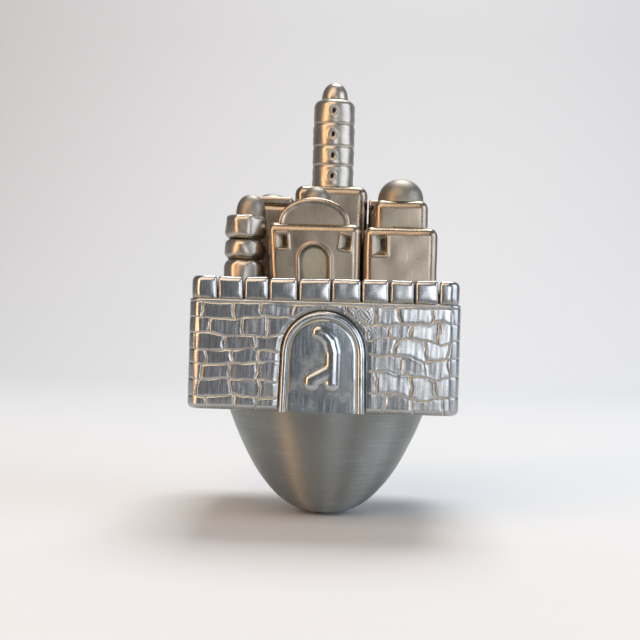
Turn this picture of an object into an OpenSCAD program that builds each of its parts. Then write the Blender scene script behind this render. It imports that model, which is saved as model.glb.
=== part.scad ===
// A silver dreidel in the form of a walled city. Each side is a wall with a gate that bears one of
// the four game letters. Behind the battlements a deck carries the houses, and the tower among
// them is the stem. The body spins on a round tip.
// Z is the spin axis and points up, the tip touches the table at the origin, and the wall with the
// gimel faces -Y. Sizes are in millimetres.

/* [Spinning tip] */

// Height of the tip, from the table to the walls
tip_h = 17.4; // [14:0.1:22]
// How far the tip's rim stands in from the stone faces
tip_margin = 3.5; // [2:0.1:5]
// Fullness of the tip: its height goes with this power of its radius
tip_power = 2.5; // [1.8:0.1:3.2]
// Thickness of the spun sheet at the rim
tip_t = 0.9; // [0.6:0.1:1.4]
// Thickness of the nose that it spins on
tip_nose_t = 2; // [1.2:0.1:3]
// Depth of the seat in the base plate that the tip's rim stands in
tip_seat = 0.4; // [0.2:0.1:0.6]

/* [Walls] */

// Width of the body over its stone faces
body_w = 38.8; // [35:0.1:46]
// Outer radius of the body's upright corners
corner_r = 2; // [1.6:0.1:3]
// Thickness of a wall panel
wall_t = 1.4; // [1.2:0.1:1.5]
// Height of a wall's stone face
stone_h = 15.8; // [15.2:0.1:20]
// Width of the ledges that carry the base plate and the deck
ledge_w = 1; // [0.6:0.1:1.5]
// Height of these ledges
ledge_h = 1; // [0.6:0.1:2]

/* [Battlements] */

// Height of the merlons above the stone face
merlon_h = 3.3; // [2:0.1:5]
// How far the merlons stand back from the stone face
merlon_setback = 0.35; // [0.2:0.05:0.5]
// Gap between two merlons
merlon_gap = 0.4; // [0.3:0.05:1.2]
// Widths of one side's merlons from left to right, as shares of an even one
merlon_shares = [1.07, 0.96, 0.92, 1.07, 1.21, 1.11, 1.03, 0.92, 0.88, 0.83]; // [0.7:0.01:1.3]

/* [Gates] */

// Width of a gate at its foot
gate_foot_w = 12.1; // [11:0.1:14]
// Width of the gate's jambs, carried up to the top of the arch
gate_head_w = 11.4; // [10:0.1:12]
// Radius of the gate's arch
gate_arch_r = 5.8; // [5.5:0.1:7]
// Depth of the seat that the gate is let into
gate_seat = 0.5; // [0.3:0.05:0.7]
// How far the gate's face stands out from the stones
gate_proud = 0.6; // [0.4:0.1:1.2]
// Width of the gate's raised rim
gate_rim_w = 1; // [0.6:0.1:1.4]
// Height of the rim over the gate's face
gate_rim_h = 0.35; // [0.2:0.05:0.6]

/* [Letters] */

// Width of a letter between the middles of its outer strokes
letter_w = 3.3; // [2.5:0.1:4.2]
// Height of a letter between the middles of its outer strokes
letter_h = 7.6; // [6:0.1:8]
// Width of a stroke
letter_stroke = 2; // [1:0.1:2.2]
// Height of the letter over the gate's face
letter_relief = 0.7; // [0.4:0.1:1]
// Height of the letter's lowest stroke above the foot of the wall
letter_z = 3.9; // [3:0.1:4.5]
// Clear space between the letter and the rim above it
letter_margin = 0.8; // [0.5:0.1:1.5]

/* [Base plate and deck] */

// Thickness of the base plate
base_t = 1; // [0.8:0.1:1.6]
// Thickness of the deck
deck_t = 1; // [0.8:0.1:1.6]
// Solder gap round each fitted piece
fit = 0.05; // [0.02:0.01:0.1]

/* [Stem] */

// Radius of the round tower
stem_r = 3.3; // [2.6:0.1:4]
// Heights of its four storeys
stem_storeys = [3.5, 3, 3.6, 3.9]; // [2.5:0.1:5]
// Radius of its rounded shoulder
stem_shoulder = 1; // [0.6:0.1:1.3]
// Depth of the grooves between storeys
stem_groove = 0.3; // [0.2:0.05:0.5]
// Width of the small windows
stem_window_w = 0.7; // [0.4:0.1:1]
// Height of the small windows
stem_window_h = 1; // [0.6:0.1:1.4]
// Depth of the small windows
stem_window_d = 0.6; // [0.4:0.1:0.8]
// Radius of the tenon that holds the tower
tenon_r = 1.6; // [1.2:0.1:2.2]
// Radius of the cap at its foot
cap_r = 2.1; // [1.6:0.1:2.2]
// Height of the cap
cap_h = 2.9; // [2:0.1:4]
// Width of the square plinth, as a share of the body's width
plinth_share = 0.29; // [0.24:0.005:0.32]
// Height of the plinth above the deck
plinth_h = 18.2; // [14:0.1:22]

/* [Houses] */

// Clear lane between the walls and the houses
lane = 2; // [0.8:0.1:2.4]
// Gap between neighbouring houses
street = 0.25; // [0.2:0.05:0.6]
// Rounding of the houses' edges
house_edge = 1; // [0.4:0.1:1]
// Thickness of the houses' cast shells
shell_t = 1.1; // [1:0.1:1.4]
// Radius of the pegs that hold the houses in the deck
peg_r = 0.9; // [0.6:0.1:1.1]
// Depth of the sockets that domes and upper storeys stand in
socket_h = 0.6; // [0.4:0.1:0.8]
// Depth of the windows
window_d = 0.6; // [0.4:0.1:0.7]

/* [Front and back house] */

// Width of the house, as a share of the row that it stands in
house_share = 0.435; // [0.37:0.005:0.46]
// Height of the house
house_h = 11.35; // [10.6:0.05:14]
// Width of the doorway
door_w = 4.2; // [3.4:0.1:5.4]
// Height of the doorway, to the top of its arch
door_h = 8; // [6:0.1:9]
// Width of the windows
house_window_w = 1.5; // [1:0.1:2]
// Height of the windows
house_window_h = 2.1; // [1.4:0.1:2.4]
// Drop of the windows' middles below the top of the house
house_window_drop = 2.75; // [2.3:0.05:4]
// Distance of the windows' middles from the house's sides
house_window_inset = 2.3; // [2.2:0.05:2.8]
// How far the pediment's ends stand in from the house's sides
pediment_margin = 1.6; // [1:0.1:3]
// Height of the pediment
pediment_h = 3.8; // [2.5:0.1:5]
// Thickness of the pediment
pediment_t = 2.6; // [1.5:0.1:3.2]
// How far the pediment stands back from the house's face
pediment_setback = 0.7; // [0.3:0.1:1]
// Radius of the dome behind the pediment, as a share of the row's depth
house_dome_share = 0.205; // [0.15:0.005:0.25]
// Height of that dome's drum
house_drum_h = 3.9; // [2:0.1:5]

/* [Corner houses] */

// How far the lower block ends below the top of the house beside it
corner_drop = 0.3; // [0:0.05:1]
// Width and depth of the upper block, as a share of the lower block's
corner_upper_share = 0.74; // [0.6:0.01:0.85]
// Height of the upper block
corner_upper_h = 4.1; // [2.5:0.1:5]
// Width of the dome, as a share of the upper block's narrower side
corner_dome_share = 0.9; // [0.7:0.01:0.95]
// Height of the dome
corner_dome_h = 3.4; // [2.4:0.1:4.5]
// Width of the window
corner_window_w = 2; // [1.2:0.1:2.4]
// Height of the window
corner_window_h = 3; // [2:0.1:3.4]
// Drop of the window's middle below the top of the lower block
corner_window_drop = 2.65; // [2.4:0.05:4]
// Distance of the window's middle from the block's inner side
corner_window_x = 2.5; // [2:0.1:3]

/* [Turrets] */

// Width of a turret across its flats, as a share of the row that it stands in
turret_share = 0.19; // [0.16:0.002:0.21]
// How far a turret stands in from the lane
turret_inset = 0.7; // [0.3:0.1:1.5]
// Height of the lowest storey
turret_base_h = 5.9; // [5:0.1:7]
// Height of the middle storey
turret_middle_h = 3; // [2:0.1:4]
// Height of the top storey
turret_top_h = 3.6; // [2.4:0.1:4.5]
// Rounding of the storeys' edges
turret_edge = 0.6; // [0.3:0.1:0.9]
// Width of the dome, as a share of the turret's
turret_dome_share = 0.72; // [0.5:0.01:0.75]
// Height of the dome
turret_dome_h = 3.1; // [2:0.1:4.5]
// How far the dome is set off towards the gate, as a share of the turret's width
turret_shift_share = 0.11; // [0:0.01:0.12]

/* [Side houses] */

// Width of a side house, away from the tower, as a share of what it and its wing take up
side_share = 0.575; // [0.5:0.005:0.6]
// How far the walls of the left side house end below the top of the plinth
left_house_drop = 2.9; // [0:0.1:4]
// How far the walls of the right side house end below the top of the plinth
right_house_drop = 3; // [0:0.1:4]
// Thickness of the roof slabs
roof_t = 0.9; // [0.5:0.1:1.5]
// Width of the windows
side_window_w = 1.5; // [1:0.1:2]
// Height of the windows
side_window_h = 2.2; // [1.5:0.1:3]
// Drop of the windows' middles below the top of the house
side_window_drop = 3.6; // [2.5:0.1:4.5]
// Spacing of the windows, as a share of the house's length
side_window_share = 0.285; // [0.22:0.005:0.3]
// Length of a side wing
wing_l = 9; // [7:0.1:10]
// Height of a side wing
wing_h = 8; // [6:0.1:9]
// Width of a side wing's dome, as a share of the wing's
wing_dome_share = 0.76; // [0.5:0.01:0.85]
// Height of a side wing's dome
wing_dome_h = 1.6; // [1:0.1:2.4]

/* [Hidden] */

silver = "#b9b7b0";
bright_silver = "#cfcdc6";
dark_silver = "#8f8c86";

// Sides of the body, as angles from the front
front_angle = 0;
right_angle = 90;
back_angle = 180;
left_angle = 270;
// The tower's seam lies between two of its windows
seam_angle = 45;

// Letters as strokes, each a row of points in shares of the letter's width and height
gimel_shares = [[[0.3, 1], [0.7, 0.97], [0.95, 0.84], [1, 0.6], [1, 0]], [[1, 0.4], [0.25, 0.2], [0, 0]]];
nun_shares = [[[0.35, 1], [0.9, 0.97], [1, 0.85], [1, 0.05], [0.1, 0]]];
shin_shares = [[[-0.35, 1], [-0.25, 0.15], [0.2, 0], [1.1, 0.1], [1.35, 1]], [[0.5, 0.98], [0.42, 0.04]]];
he_shares = [[[0, 1], [0.85, 1], [1, 0.88], [1, 0]], [[0, 0.5], [0, 0]]];
stretch_share = 0.96;

tip_steps = 24;
arch_steps = 28;
dome_steps = 12;
round_fn = 64;
edge_fn = 24;
min_r = 0.3;
cut = 1;

wall_top = tip_h + stone_h;
deck_z = wall_top - deck_t;
inside = body_w / 2 - wall_t;
row_front = inside - lane;
row_w = 2 * row_front;
plinth_w = plinth_share * body_w;
row_back = plinth_w / 2 + street;
row_d = row_front - row_back;
row_mid = (row_front + row_back) / 2;

// Middles of the gaps between merlons, as shares of the body's width
merlon_gaps = [
    for (i = [1 : len(merlon_shares) - 1]) first(merlon_shares, i) / first(merlon_shares, len(merlon_shares))
];

gate_h = letter_z + letter_h + letter_stroke / 2 + letter_margin + gate_rim_w;

tip_rim_r = body_w / 2 - tip_margin;
tip_bore_r = tip_rim_r - tip_t;
tip_bore_h = tip_h - tip_nose_t;

turret_w = turret_share * row_w;
turret_x = turret_inset + turret_w / 2 - row_front;
turret_dome_r = turret_dome_share * turret_w / 2;
turret_dome_x = turret_shift_share * turret_w;

house_w = house_share * row_w;
house_left = turret_x + turret_w / 2 + street;
house_x = house_left + house_w / 2;
house_window_x = house_w / 2 - house_window_inset;
house_window_z = house_h - house_window_drop;
pediment_w = house_w - 2 * pediment_margin;
pediment_y = pediment_setback + pediment_t / 2 - row_front;
house_dome_r = house_dome_share * row_d;
house_dome_y = pediment_y + pediment_t / 2 + street / 2 + house_dome_r;

corner_left = house_left + house_w + street;
corner_w = row_front - corner_left;
corner_h = house_h - corner_drop;
corner_window_z = corner_h - corner_window_drop;
corner_x = corner_left + corner_w / 2;
corner_upper_w = corner_upper_share * corner_w;
corner_upper_d = corner_upper_share * row_d;
corner_dome_r = corner_dome_share * min(corner_upper_w, corner_upper_d) / 2;

side_w = side_share * (row_d - street);
side_x = row_back + side_w / 2;
side_window_pitch = side_window_share * plinth_w;
left_house_h = plinth_h - left_house_drop;
right_house_h = plinth_h - right_house_drop;
roof_edge = min(house_edge, roof_t / 2);
wing_inner = side_x + side_w / 2 + street;
wing_w = row_front - wing_inner;
wing_x = wing_inner + wing_w / 2;
wing_dome_r = wing_dome_share * wing_w / 2;

stem_z = wall_top + plinth_h;
stem_h = stem_storeys[0] + stem_storeys[1] + stem_storeys[2] + stem_storeys[3];
stem_joints = [
    stem_storeys[0],
    stem_storeys[0] + stem_storeys[1],
    stem_storeys[0] + stem_storeys[1] + stem_storeys[2]
];
stem_floors = concat([0], stem_joints);

// Sum of the first n numbers of a list
function first(list, n) = n == 0 ? 0 : list[n - 1] + first(list, n - 1);

// Turns what is drawn for the front to another side
module side(angle) {
    rotate([0, 0, angle])
        children();
}

// Rectangle with round corners
module soft_rect(w, d, r) {
    square([w, d - 2 * r], center = true);
    square([w - 2 * r, d], center = true);
    for (x = [-1, 1], y = [-1, 1])
        translate([x * (w / 2 - r), y * (d / 2 - r)])
            circle(r, $fn = round_fn);
}

// Outline of the body, moved inwards
module plan(inset) {
    soft_rect(body_w - 2 * inset, body_w - 2 * inset, max(corner_r - inset, min_r));
}

// Ring between two insets of the body's outline
module plan_ring(outer, inner, h) {
    linear_extrude(h)
        difference() {
            plan(outer);
            plan(inner);
        }
}

// Lifts a drawing off the front wall, from a depth behind the stone face, outwards by t
module on_face(depth, t) {
    translate([0, depth - body_w / 2, tip_h])
        rotate([90, 0, 0])
            linear_extrude(t)
                children();
}

// Block with its top and upright edges rounded
module soft_block(w, d, h, r) {
    hull()
        for (a = [0, 45, 90])
            linear_extrude(h - r + r * sin(a))
                soft_rect_hull(w - 2 * r * (1 - cos(a)), d - 2 * r * (1 - cos(a)), r);
}

// Corner circles of a rounded rectangle, for a hull
module soft_rect_hull(w, d, r) {
    for (x = [-1, 1], y = [-1, 1])
        translate([x * (w / 2 - r), y * (d / 2 - r)])
            circle(r, $fn = edge_fn);
}

// Cast shell of a house, open below, with a peg that reaches through the deck
module shell(w, d, h) {
    difference() {
        soft_block(w, d, h, house_edge);
        translate([shell_t - w / 2, shell_t - d / 2, -shell_t])
            cube([w - 2 * shell_t, d - 2 * shell_t, h]);
    }
    translate([0, 0, -deck_t])
        cylinder(r = peg_r, h = deck_t + h - shell_t, $fn = round_fn);
}

// Spigot under a piece
module spigot() {
    translate([0, 0, fit - socket_h])
        cylinder(r = peg_r - fit, h = socket_h, $fn = round_fn);
}

// Socket for a spigot, down from a roof at height h
module socket(h) {
    translate([0, 0, h - socket_h])
        cylinder(r = peg_r, h = socket_h + cut, $fn = round_fn);
}

// Window cut into a face at -Y
module window(w, h, face_y) {
    translate([-w / 2, face_y - cut, -h / 2])
        cube([w, window_d + cut, h]);
}

// Dome over the point below it, on a drum
module dome(r, h, drum) {
    rotate_extrude($fn = round_fn)
        polygon(concat(
            [[0, 0]],
            [for (i = [0 : dome_steps]) [r * cos(90 * i / dome_steps), drum + h * sin(90 * i / dome_steps)]]
        ));
}

// Round-nosed cup that the body spins on
module spinning_tip() {
    color(bright_silver)
        rotate_extrude($fn = round_fn)
            polygon(concat(
                [for (i = [0 : tip_steps]) [tip_rim_r * i / tip_steps, tip_h * pow(i / tip_steps, tip_power)]],
                [[tip_rim_r, tip_h + tip_seat], [tip_bore_r, tip_h + tip_seat]],
                [for (i = [tip_steps : -1 : 0])
                    [tip_bore_r * i / tip_steps, tip_nose_t + tip_bore_h * pow(i / tip_steps, tip_power)]]
            ));
}

// Plate that closes the walls below, with a round seat for the tip's rim
module base_plate() {
    color(dark_silver)
        translate([0, 0, tip_h])
            difference() {
                linear_extrude(base_t)
                    plan(wall_t + fit);
                translate([0, 0, -cut])
                    cylinder(r = tip_rim_r + fit, h = tip_seat + cut, $fn = round_fn);
            }
}

// Holes for the pegs of one long side and one short side
module peg_holes() {
    for (at = [[turret_x, turret_x], [house_x, -row_mid], [corner_x, -row_mid], [side_x, 0], [wing_x, 0]])
        translate([at[0], at[1], deck_z - cut])
            cylinder(r = peg_r + fit, h = deck_t + 2 * cut, $fn = round_fn);
}

// Plate that closes the walls above and carries the houses
module roof_deck() {
    color(dark_silver)
        difference() {
            translate([0, 0, deck_z])
                linear_extrude(deck_t)
                    plan(wall_t + fit);
            side(front_angle)
                peg_holes();
            side(back_angle)
                peg_holes();
            translate([0, 0, deck_z - cut])
                cylinder(r = tenon_r + fit, h = deck_t + 2 * cut, $fn = round_fn);
        }
}

// Outline of a gate, moved inwards
module gate_outline(inset) {
    intersection() {
        polygon([
            [inset - gate_foot_w / 2, -max(-inset, 0)],
            [gate_foot_w / 2 - inset, -max(-inset, 0)],
            [gate_head_w / 2 - inset, gate_h],
            [inset - gate_head_w / 2, gate_h]
        ]);
        union() {
            translate([0, gate_h - gate_arch_r])
                circle(gate_arch_r - inset, $fn = round_fn);
            translate([-gate_foot_w, -cut])
                square([2 * gate_foot_w, gate_h - gate_arch_r + cut]);
        }
    }
}

// Wall panel, mitred at both ends, with its merlons, its ledges and the seat of its gate
module wall() {
    color(silver)
        difference() {
            intersection() {
                union() {
                    translate([0, 0, tip_h])
                        plan_ring(0, wall_t, stone_h);
                    translate([0, 0, wall_top])
                        plan_ring(merlon_setback, wall_t, merlon_h);
                    for (z = [tip_h + base_t, deck_z - ledge_h])
                        translate([0, 0, z])
                            plan_ring(wall_t - min_r, wall_t + ledge_w, ledge_h);
                }
                linear_extrude(wall_top + merlon_h)
                    polygon([[0, 0], [-body_w, -body_w], [body_w, -body_w]]);
            }
            for (gap = merlon_gaps)
                translate([body_w * (gap - 0.5) - merlon_gap / 2, -body_w, wall_top])
                    cube([merlon_gap, body_w, merlon_h + cut]);
            on_face(gate_seat, gate_seat + cut)
                gate_outline(-fit);
        }
}

// Arched gate with its raised rim
module gate() {
    color(bright_silver) {
        on_face(gate_seat, gate_seat + gate_proud)
            gate_outline(0);
        on_face(-gate_proud, gate_rim_h)
            difference() {
                gate_outline(0);
                gate_outline(gate_rim_w);
            }
    }
}

// One straight stretch of a stroke, a little narrower than the rounds at its two ends
module stretch(from, to) {
    run = to - from;
    w = letter_stroke * stretch_share;
    translate(from)
        rotate(atan2(run[1], run[0]))
            translate([0, -w / 2])
                square([norm(run), w]);
}

// Raised letter
module letter(strokes) {
    size = [letter_w, letter_h];
    color(bright_silver)
        on_face(-gate_proud, letter_relief)
            translate([-letter_w / 2, letter_z])
                for (stroke = strokes) {
                    points = [for (p = stroke) [p[0] * size[0], p[1] * size[1]]];
                    for (p = points)
                        translate(p)
                            circle(letter_stroke / 2, $fn = round_fn);
                    for (i = [1 : len(points) - 1])
                        stretch(points[i - 1], points[i]);
                }
}

// Square block under the tower
module stem_plinth() {
    color(silver)
        translate([0, 0, wall_top])
            difference() {
                soft_block(plinth_w, plinth_w, plinth_h, house_edge);
                translate([shell_t - plinth_w / 2, shell_t - plinth_w / 2, -shell_t])
                    cube([plinth_w - 2 * shell_t, plinth_w - 2 * shell_t, plinth_h]);
                cylinder(r = tenon_r + fit, h = plinth_h + cut, $fn = round_fn);
            }
}

// Round tower of four storeys, with a tenon that reaches through the plinth and the deck
module stem() {
    color(bright_silver)
        translate([0, 0, stem_z])
            difference() {
                rotate([0, 0, seam_angle])
                    rotate_extrude($fn = round_fn)
                        polygon(concat(
                            [[0, deck_z - stem_z], [tenon_r, deck_z - stem_z], [tenon_r, 0], [stem_r, 0]],
                            [for (z = stem_joints, d = [-1, 0, 1])
                                [stem_r - stem_groove * (1 - abs(d)), z + d * stem_groove]],
                            [for (i = [0 : dome_steps]) [
                                stem_r - stem_shoulder * (1 - cos(90 * i / dome_steps)),
                                stem_h - stem_shoulder * (1 - sin(90 * i / dome_steps))
                            ]],
                            [[0, stem_h]]
                        ));
                for (i = [0 : 3], angle = [front_angle, right_angle, back_angle, left_angle])
                    side(angle)
                        translate([0, stem_window_d - stem_r, stem_floors[i] + stem_storeys[i] / 2])
                            rotate([90, 0, 0])
                                stem_window();
                socket(stem_h);
            }
}

// Lozenge-shaped window
module stem_window() {
    linear_extrude(stem_window_d + cut)
        polygon([
            [-stem_window_w / 2, 0],
            [0, -stem_window_h / 2],
            [stem_window_w / 2, 0],
            [0, stem_window_h / 2]
        ]);
}

// Pointed dome on the tower
module stem_cap() {
    color(bright_silver)
        translate([0, 0, stem_z + stem_h]) {
            dome(cap_r, cap_h, 0);
            spigot();
        }
}

// House behind the gate, with a doorway and two windows
module house() {
    color(silver)
        translate([house_x, -row_mid, wall_top])
            difference() {
                shell(house_w, row_d, house_h);
                for (x = [-1, 1])
                    translate([x * house_window_x, 0, house_window_z])
                        window(house_window_w, house_window_h, -row_d / 2);
                translate([0, window_d - row_d / 2, 0])
                    rotate([90, 0, 0])
                        linear_extrude(window_d + cut)
                            doorway();
                translate([0, pediment_y + row_mid, 0])
                    socket(house_h);
                translate([0, house_dome_y + row_mid, 0])
                    socket(house_h);
            }
}

// Outline of the arched doorway
module doorway() {
    translate([0, door_h - door_w / 2])
        circle(door_w / 2, $fn = round_fn);
    translate([-door_w / 2, -cut])
        square([door_w, door_h - door_w / 2 + cut]);
}

// Half-round slab on the house
module pediment() {
    color(silver)
        translate([house_x, pediment_y, wall_top + house_h]) {
            translate([0, pediment_t / 2, 0])
                rotate([90, 0, 0])
                    linear_extrude(pediment_t)
                        polygon([for (i = [0 : arch_steps]) [
                            pediment_w / 2 * cos(180 * i / arch_steps),
                            pediment_h * sin(180 * i / arch_steps)
                        ]]);
            spigot();
        }
}

// Dome behind the pediment
module house_dome() {
    color(bright_silver)
        translate([house_x, house_dome_y, wall_top + house_h]) {
            dome(house_dome_r, house_dome_r, house_drum_h);
            spigot();
        }
}

// Lower block of the corner house
module corner_house() {
    color(silver)
        translate([corner_x, -row_mid, wall_top])
            difference() {
                shell(corner_w, row_d, corner_h);
                translate([corner_window_x - corner_w / 2, 0, corner_window_z])
                    window(corner_window_w, corner_window_h, -row_d / 2);
                rotate([0, 0, 90])
                    translate([0, 0, corner_window_z])
                        window(corner_window_w, corner_window_h, -corner_w / 2);
                socket(corner_h);
            }
}

// Upper block of the corner house
module corner_upper() {
    color(silver)
        translate([corner_x, -row_mid, wall_top + corner_h])
            difference() {
                union() {
                    soft_block(corner_upper_w, corner_upper_d, corner_upper_h, house_edge);
                    spigot();
                }
                socket(corner_upper_h);
            }
}

// Dome of the corner house
module corner_dome() {
    color(bright_silver)
        translate([corner_x, -row_mid, wall_top + corner_h + corner_upper_h]) {
            dome(corner_dome_r, corner_dome_h, 0);
            spigot();
        }
}

// Eight-sided storey of a turret, on a spigot or a peg below it
module turret_storey(z, h, below, below_r, socket_x) {
    color(silver)
        translate([turret_x, turret_x, wall_top + z])
            difference() {
                union() {
                    hull()
                        for (edge = [0, turret_edge])
                            translate([0, 0, turret_edge - edge])
                                rotate([0, 0, 22.5])
                                    cylinder(
                                        r = (turret_w / 2 - turret_edge + edge) / cos(22.5),
                                        h = h - 2 * (turret_edge - edge),
                                        $fn = 8
                                    );
                    translate([0, 0, -below])
                        cylinder(r = below_r, h = below + turret_edge, $fn = round_fn);
                }
                translate([socket_x, 0, 0])
                    socket(h);
            }
}

// Lowest storey of a turret
module turret_base() {
    turret_storey(0, turret_base_h, deck_t, peg_r, 0);
}

// Middle storey of a turret
module turret_middle() {
    turret_storey(turret_base_h, turret_middle_h, socket_h - fit, peg_r - fit, 0);
}

// Top storey of a turret
module turret_top() {
    z = turret_base_h + turret_middle_h;
    turret_storey(z, turret_top_h, socket_h - fit, peg_r - fit, turret_dome_x);
}

// Dome of a turret
module turret_dome() {
    z = turret_base_h + turret_middle_h + turret_top_h;
    color(bright_silver)
        translate([turret_x + turret_dome_x, turret_x, wall_top + z]) {
            dome(turret_dome_r, turret_dome_h, 0);
            spigot();
        }
}

// Tall house beside the tower, drawn for the right side
module side_house(h) {
    color(silver)
        translate([side_x, 0, wall_top])
            difference() {
                shell(side_w, plinth_w, h);
                rotate([0, 0, 90])
                    for (i = [-1 : 1])
                        translate([i * side_window_pitch, 0, h - side_window_drop])
                            window(side_window_w, side_window_h, -side_w / 2);
                socket(h);
            }
}

// Roof slab of a tall house
module side_roof(h) {
    color(silver)
        translate([side_x, 0, wall_top + h]) {
            soft_block(side_w, plinth_w, roof_t, roof_edge);
            spigot();
        }
}

// Low wing between a tall house and its wall
module wing() {
    color(silver)
        translate([wing_x, 0, wall_top])
            difference() {
                shell(wing_w, wing_l, wing_h);
                socket(wing_h);
            }
}

// Dome of a low wing
module wing_dome() {
    color(bright_silver)
        translate([wing_x, 0, wall_top + wing_h]) {
            dome(wing_dome_r, wing_dome_h, 0);
            spigot();
        }
}

spinning_tip();
base_plate();
roof_deck();
side(front_angle) wall();  // front_wall
side(right_angle) wall();  // right_wall
side(back_angle) wall();  // back_wall
side(left_angle) wall();  // left_wall
side(front_angle) gate();  // front_gate
side(right_angle) gate();  // right_gate
side(back_angle) gate();  // back_gate
side(left_angle) gate();  // left_gate
side(front_angle) letter(gimel_shares);  // front_letter
side(right_angle) letter(nun_shares);  // right_letter
side(back_angle) letter(shin_shares);  // back_letter
side(left_angle) letter(he_shares);  // left_letter
stem_plinth();
stem();
stem_cap();
side(front_angle) house();  // front_house
side(front_angle) pediment();  // front_pediment
side(front_angle) house_dome();  // front_dome
side(front_angle) corner_house();  // front_corner_house
side(front_angle) corner_upper();  // front_corner_upper
side(front_angle) corner_dome();  // front_corner_dome
side(front_angle) turret_base();  // front_turret_base
side(front_angle) turret_middle();  // front_turret_middle
side(front_angle) turret_top();  // front_turret_top
side(front_angle) turret_dome();  // front_turret_dome
side(back_angle) house();  // back_house
side(back_angle) pediment();  // back_pediment
side(back_angle) house_dome();  // back_dome
side(back_angle) corner_house();  // back_corner_house
side(back_angle) corner_upper();  // back_corner_upper
side(back_angle) corner_dome();  // back_corner_dome
side(back_angle) turret_base();  // back_turret_base
side(back_angle) turret_middle();  // back_turret_middle
side(back_angle) turret_top();  // back_turret_top
side(back_angle) turret_dome();  // back_turret_dome
side(back_angle) side_house(left_house_h);  // left_house
side(back_angle) side_roof(left_house_h);  // left_house_roof
side(back_angle) wing();  // left_wing
side(back_angle) wing_dome();  // left_wing_dome
side(front_angle) side_house(right_house_h);  // right_house
side(front_angle) side_roof(right_house_h);  // right_house_roof
side(front_angle) wing();  // right_wing
side(front_angle) wing_dome();  // right_wing_dome
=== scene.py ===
"""Looks of a silver dreidel in the form of a walled city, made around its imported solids."""

import math

import bmesh
import bpy
import numpy as np
from bpy.props import FloatProperty, FloatVectorProperty, IntProperty, PointerProperty
from mathutils import Euler, Matrix, Vector


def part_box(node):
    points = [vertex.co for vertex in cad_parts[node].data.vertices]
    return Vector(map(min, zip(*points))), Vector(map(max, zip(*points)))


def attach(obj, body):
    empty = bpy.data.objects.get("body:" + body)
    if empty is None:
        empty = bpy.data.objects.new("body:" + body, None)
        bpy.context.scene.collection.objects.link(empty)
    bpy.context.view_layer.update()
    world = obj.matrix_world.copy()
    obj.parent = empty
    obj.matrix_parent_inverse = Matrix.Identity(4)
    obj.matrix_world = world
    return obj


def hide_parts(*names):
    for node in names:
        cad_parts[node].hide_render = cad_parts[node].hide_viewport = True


bl_info = {
    "name": "Silver city dreidel",
    "version": (1, 0, 0),
    "blender": (4, 5, 0),
    "location": "3D View > Sidebar > Dreidel",
    "description": "Builds the visible pieces of a cast silver dreidel with a walled city on it",
    "category": "Object",
}

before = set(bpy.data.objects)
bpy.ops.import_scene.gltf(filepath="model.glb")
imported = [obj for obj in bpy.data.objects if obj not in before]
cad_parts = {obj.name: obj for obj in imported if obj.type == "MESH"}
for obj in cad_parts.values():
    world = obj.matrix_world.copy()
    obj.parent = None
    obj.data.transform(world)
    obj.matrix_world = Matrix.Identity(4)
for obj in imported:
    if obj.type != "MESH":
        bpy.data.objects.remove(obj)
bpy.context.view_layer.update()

MM = 0.001
# Places that count as one and lengths that count as none, in millimetres
NEAR = 1e-4
TINY = 1e-6
SIDES = ("front", "right", "back", "left")
ROWS = {"front": 0, "back": 2}


def linear(code):
    """An sRGB hex colour as linear red, green and blue."""
    parts = [int(code[i : i + 2], 16) / 255 for i in (0, 2, 4)]
    return tuple(c / 12.92 if c <= 0.04045 else ((c + 0.055) / 1.055) ** 2.4 for c in parts)


# Sizes and colours that a user would change


def millimetres(name, description, default):
    """A size in millimetres."""
    return FloatProperty(name=name, description=description, default=default, subtype="DISTANCE_CAMERA")


def degrees(name, description, default):
    """An angle, from its value in degrees."""
    return FloatProperty(name=name, description=description, default=math.radians(default), subtype="ANGLE")


def hex_colour(name, description, code):
    """A colour, from its sRGB hex value."""
    return FloatVectorProperty(name=name, description=description, default=linear(code), subtype="COLOR")


class WallSizes(bpy.types.PropertyGroup):
    """Sizes of the stone walls and their battlements, in millimetres."""

    grid: millimetres("Grid", "Spacing of the wall's mesh", 0.086)
    joint_w: millimetres("Joint width", "Half width of an engraved joint", 0.095)
    joint_d: millimetres("Joint depth", "Depth of an engraved joint", 0.1)
    pillow: millimetres("Pillow", "Fall of a stone towards its joints", 0.012)
    tilt: FloatProperty(name="Tilt", description="Spread of the stones' slopes", default=0.02)
    corner_r: millimetres("Corner radius", "Radius of the body's corners", 2.0)
    course_h: millimetres("String course", "Height of the band under the merlons", 0.55)
    merlon_gap: millimetres("Merlon gap", "Gap between two merlons", 0.12)
    merlon_setback: millimetres("Setback", "Merlons behind the stones", 0.35)
    wall_t: millimetres("Thickness", "Thickness of a wall", 1.4)
    seed: IntProperty(name="Seed", description="Start of the random draws", default=7)


class GateSizes(bpy.types.PropertyGroup):
    """Sizes of the gates and letters, in millimetres."""

    foot_w: millimetres("Foot width", "Width of a gate at its foot", 12.1)
    head_w: millimetres("Head width", "Width of the jambs at the arch's top", 11.4)
    height: millimetres("Height", "Height of a gate", 14.3)
    arch_r: millimetres("Arch radius", "Radius of a gate's arch", 5.8)
    rim_w: millimetres("Rim width", "Width of the raised rim", 1.0)
    rim_h: millimetres("Rim height", "Height of the raised rim", 0.35)
    stroke: millimetres("Stroke", "Width of a letter's stroke", 2.4)
    relief: millimetres("Relief", "Height of a letter over its gate", 0.7)
    voxel: millimetres("Voxel", "Grain of the letters' mesh", 0.1)


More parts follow.
